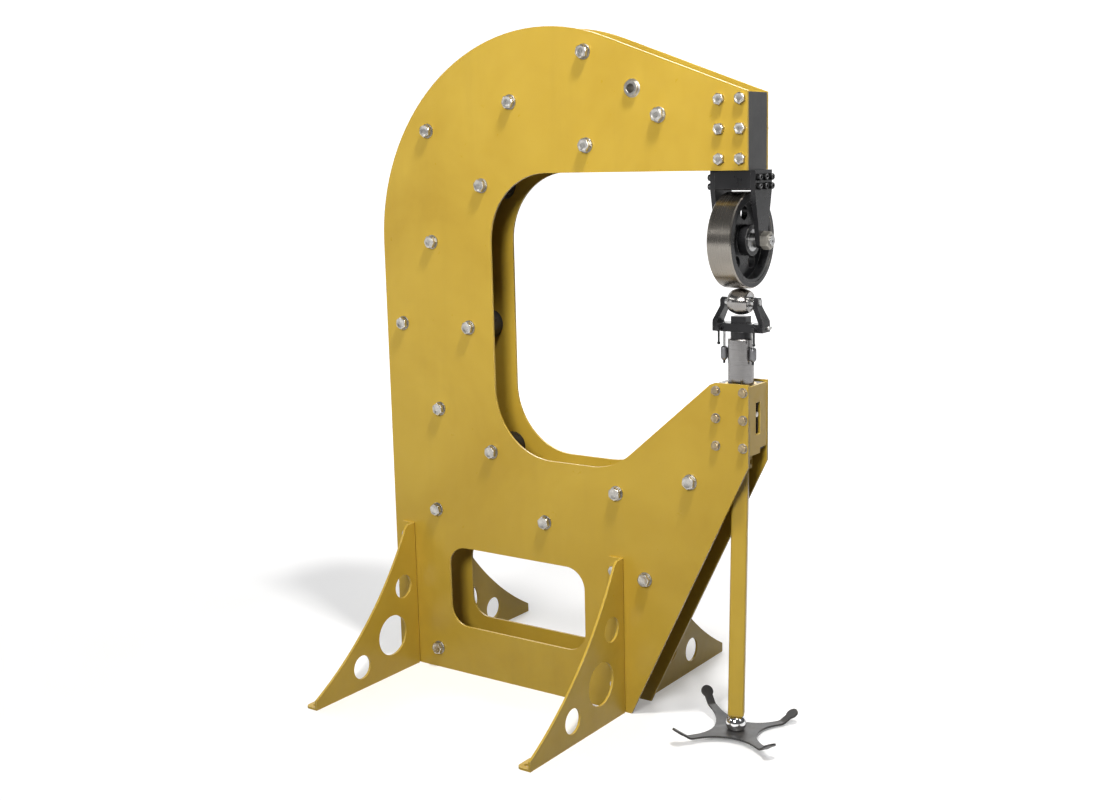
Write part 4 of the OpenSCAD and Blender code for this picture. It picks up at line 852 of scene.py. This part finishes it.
def bent_plate():
    """The kick wheel's mid-face in millimetres: flat, cut across where it bends, then folded."""
    bm = bmesh.new()
    bm.faces.new([bm.verts.new((x, y, 0)) for x, y in kick_outline()])
    cuts = [(d, s) for d in ARMS for s in (70, 100, *range(118, 143, 3), 146, 155)]
    for d, s in cuts + [(ARMS[0], s) for s in range(16, 49, 4)]:
        geom = bm.faces[:] + bm.edges[:] + bm.verts[:]
        bmesh.ops.bisect_plane(bm, geom=geom, plane_co=(d[0] * s, d[1] * s, 0), plane_no=(*d, 0), dist=1e-5)
    bmesh.ops.triangulate(bm, faces=bm.faces)
    bmesh.ops.recalc_face_normals(bm, faces=bm.faces)
    if sum(f.normal.z for f in bm.faces) < 0:
        bmesh.ops.reverse_faces(bm, faces=bm.faces)
    for v in bm.verts:
        flat = v.co.copy()
        co = flat
        for d in ARMS:
            if flat.x * d[0] + flat.y * d[1] > 100:
                co = fold(co, d, 132.0, math.radians(33), 22.0)
        if flat.x > 10:
            co = fold(co, ARMS[0], 32.0, math.radians(14), 80.0)
        v.co = co
    return bm


def kick_wheel():
    """Kick wheel bent from plate: rounded outline, smooth bends and softened edges."""
    bm = bent_plate()
    mid_face = Matrix.Translation((0, 0, KICK_UNDERSIDE + KICK_PLATE / 2))
    bmesh.ops.scale(bm, vec=(MM, MM, MM), verts=bm.verts)
    bmesh.ops.transform(bm, matrix=KICK @ mid_face @ Matrix.Rotation(KICK_TURN, 4, "Z"), verts=bm.verts)
    mesh = bpy.data.meshes.new("kick_wheel_shape")
    bm.to_mesh(mesh)
    bm.free()
    mesh.materials.append(kick_paint)
    mesh.materials.append(kick_edge_highlight)
    mesh.polygons.foreach_set("use_smooth", [True] * len(mesh.polygons))
    obj = bpy.data.objects.new("kick_wheel_look", mesh)
    bpy.context.scene.collection.objects.link(obj)
    thick = obj.modifiers.new("plate", "SOLIDIFY")
    thick.thickness = KICK_PLATE
    thick.offset = 0.0
    thick.use_even_offset = True
    soft = obj.modifiers.new("edges", "BEVEL")
    soft.width = 1.3 * MM
    soft.segments = 3
    soft.angle_limit = math.radians(50)
    # the bevel faces take the lighter edge paint, a painted highlight along the plate's edges
    soft.material = 1
    even_shading(obj)
    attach(obj, "kick")
    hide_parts("kick_wheel")


# Room, lights and camera

def floor():
    """A pale floor that curves up behind the part and is lit white towards its edges."""
    s = Shader("pale_floor", (0.86, 0.86, 0.86), 0.6)
    s.colour(s.mix(s.span(s.noise(1.3, 4), 0.3, 0.7), (0.8, 0.8, 0.805), (0.76, 0.76, 0.765)))
    s.bump(s.noise(90.0, 3), 0.03, 0.001)
    s.set(Emission_Color=(1, 1, 1, 1))
    far = s.nodes.new("ShaderNodeVectorMath")
    far.operation = "LENGTH"
    s.links.new(s.coords, far.inputs[0])
    s.links.new(s.span(far.outputs["Value"], 1.2, 4.2, 0.24, 1.0), s.bsdf.inputs["Emission Strength"])
    near, back, bend, top, half = -9.0, 4.0, 3.0, 9.0, 14.0
    path = [(near, 0.0)]
    for i in range(17):
        a = math.radians(90 * i / 16)
        path.append((back + bend * math.sin(a), bend - bend * math.cos(a)))
    path.append((back + bend, top))
    bm = bmesh.new()
    rows = [[bm.verts.new((x, y, z)) for x in (-half, half)] for y, z in path]
    for a, b in zip(rows, rows[1:]):
        bm.faces.new((a[0], a[1], b[1], b[0]))
    bmesh.ops.recalc_face_normals(bm, faces=bm.faces)
    bmesh.ops.rotate(bm, verts=bm.verts, matrix=Matrix.Rotation(math.radians(35.3), 3, "Z"))
    mesh = bpy.data.meshes.new("floor")
    bm.to_mesh(mesh)
    bm.free()
    mesh.polygons.foreach_set("use_smooth", [True] * len(mesh.polygons))
    mesh.materials.append(s.material)
    obj = bpy.data.objects.new("floor", mesh)
    bpy.context.scene.collection.objects.link(obj)
    obj.visible_diffuse = False


def air():
    """Faint even light from all round."""
    world = bpy.data.worlds.new("studio_air")
    world.use_nodes = True
    background = world.node_tree.nodes["Background"]
    background.inputs["Color"].default_value = (0.95, 0.97, 1.0, 1)
    background.inputs["Strength"].default_value = 0.1
    bpy.context.scene.world = world


def lights():
    """Area lights aimed at the middle of the part; the small one overhead draws the bolts' long shadows."""
    middle = Vector((0.2, 0.0, 1.25))
    for name, at, size, watts, spread, colour in (
            ("overhead", (1.5, -0.78, 4.2), (0.4, 0.3), 84.0, 150, (1.0, 0.98, 0.95)),
            ("front", (1.3, -4.7, 3.1), (1.8, 1.2), 27.0, 60, (1.0, 0.99, 0.97)),
            ("left_strip", (-4.2, -3.6, 3.3), (4.0, 0.4), 24.0, 150, (1.0, 1.0, 1.0)),
            ("left_low", (-4.4, -3.2, 1.2), (1.6, 1.0), 6.0, 150, (0.95, 0.97, 1.0)),
            ("rim", (-1.5, 4.2, 3.6), (2.6, 1.8), 70.0, 150, (1.0, 1.0, 1.0)),
            ("right_side", (4.2, -0.2, 3.0), (0.7, 2.0), 12.0, 150, (1.0, 1.0, 1.0))):
        data = bpy.data.lights.new(name, "AREA")
        data.shape = "RECTANGLE"
        data.size, data.size_y = size
        data.energy = watts
        data.spread = math.radians(spread)
        data.color = colour
        light = bpy.data.objects.new(name, data)
        light.location = at
        light.rotation_euler = (middle - Vector(at)).to_track_quat("-Z", "Y").to_euler()
        bpy.context.scene.collection.objects.link(light)


def camera():
    """The photograph's viewpoint, from the fit of the camera to it."""
    place = (2.22545, -2.9663, 1.4466)
    yaw, pitch, roll = math.radians(35.31), math.radians(10.03), math.radians(-1.35)
    forward = Vector((-math.sin(yaw) * math.cos(pitch), math.cos(yaw) * math.cos(pitch), -math.sin(pitch)))
    level = forward.cross(Vector((0, 0, 1))).normalized()
    upright = level.cross(forward)
    right = math.cos(roll) * level + math.sin(roll) * upright
    up = math.cos(roll) * upright - math.sin(roll) * level
    data = bpy.data.cameras.new("photo_view")
    data.lens = 45.28
    data.sensor_width = 36.0
    data.sensor_fit = "HORIZONTAL"
    data.clip_end = 60.0
    cam = bpy.data.objects.new("photo_view", data)
    cam.matrix_world = Matrix.Translation(place) @ Matrix((right, up, -forward)).transposed().to_4x4()
    bpy.context.scene.collection.objects.link(cam)
    bpy.context.scene.camera = cam


bpy.context.scene.view_settings.view_transform = "Standard"
frame_fasteners()
side_fasteners()
cap_screws()
plates_and_blocks()
feet()
upper_wheel()
anvil_group()
post_group()
knobs()
drive()
hub()
kick_wheel()
floor()
air()
lights()
camera()
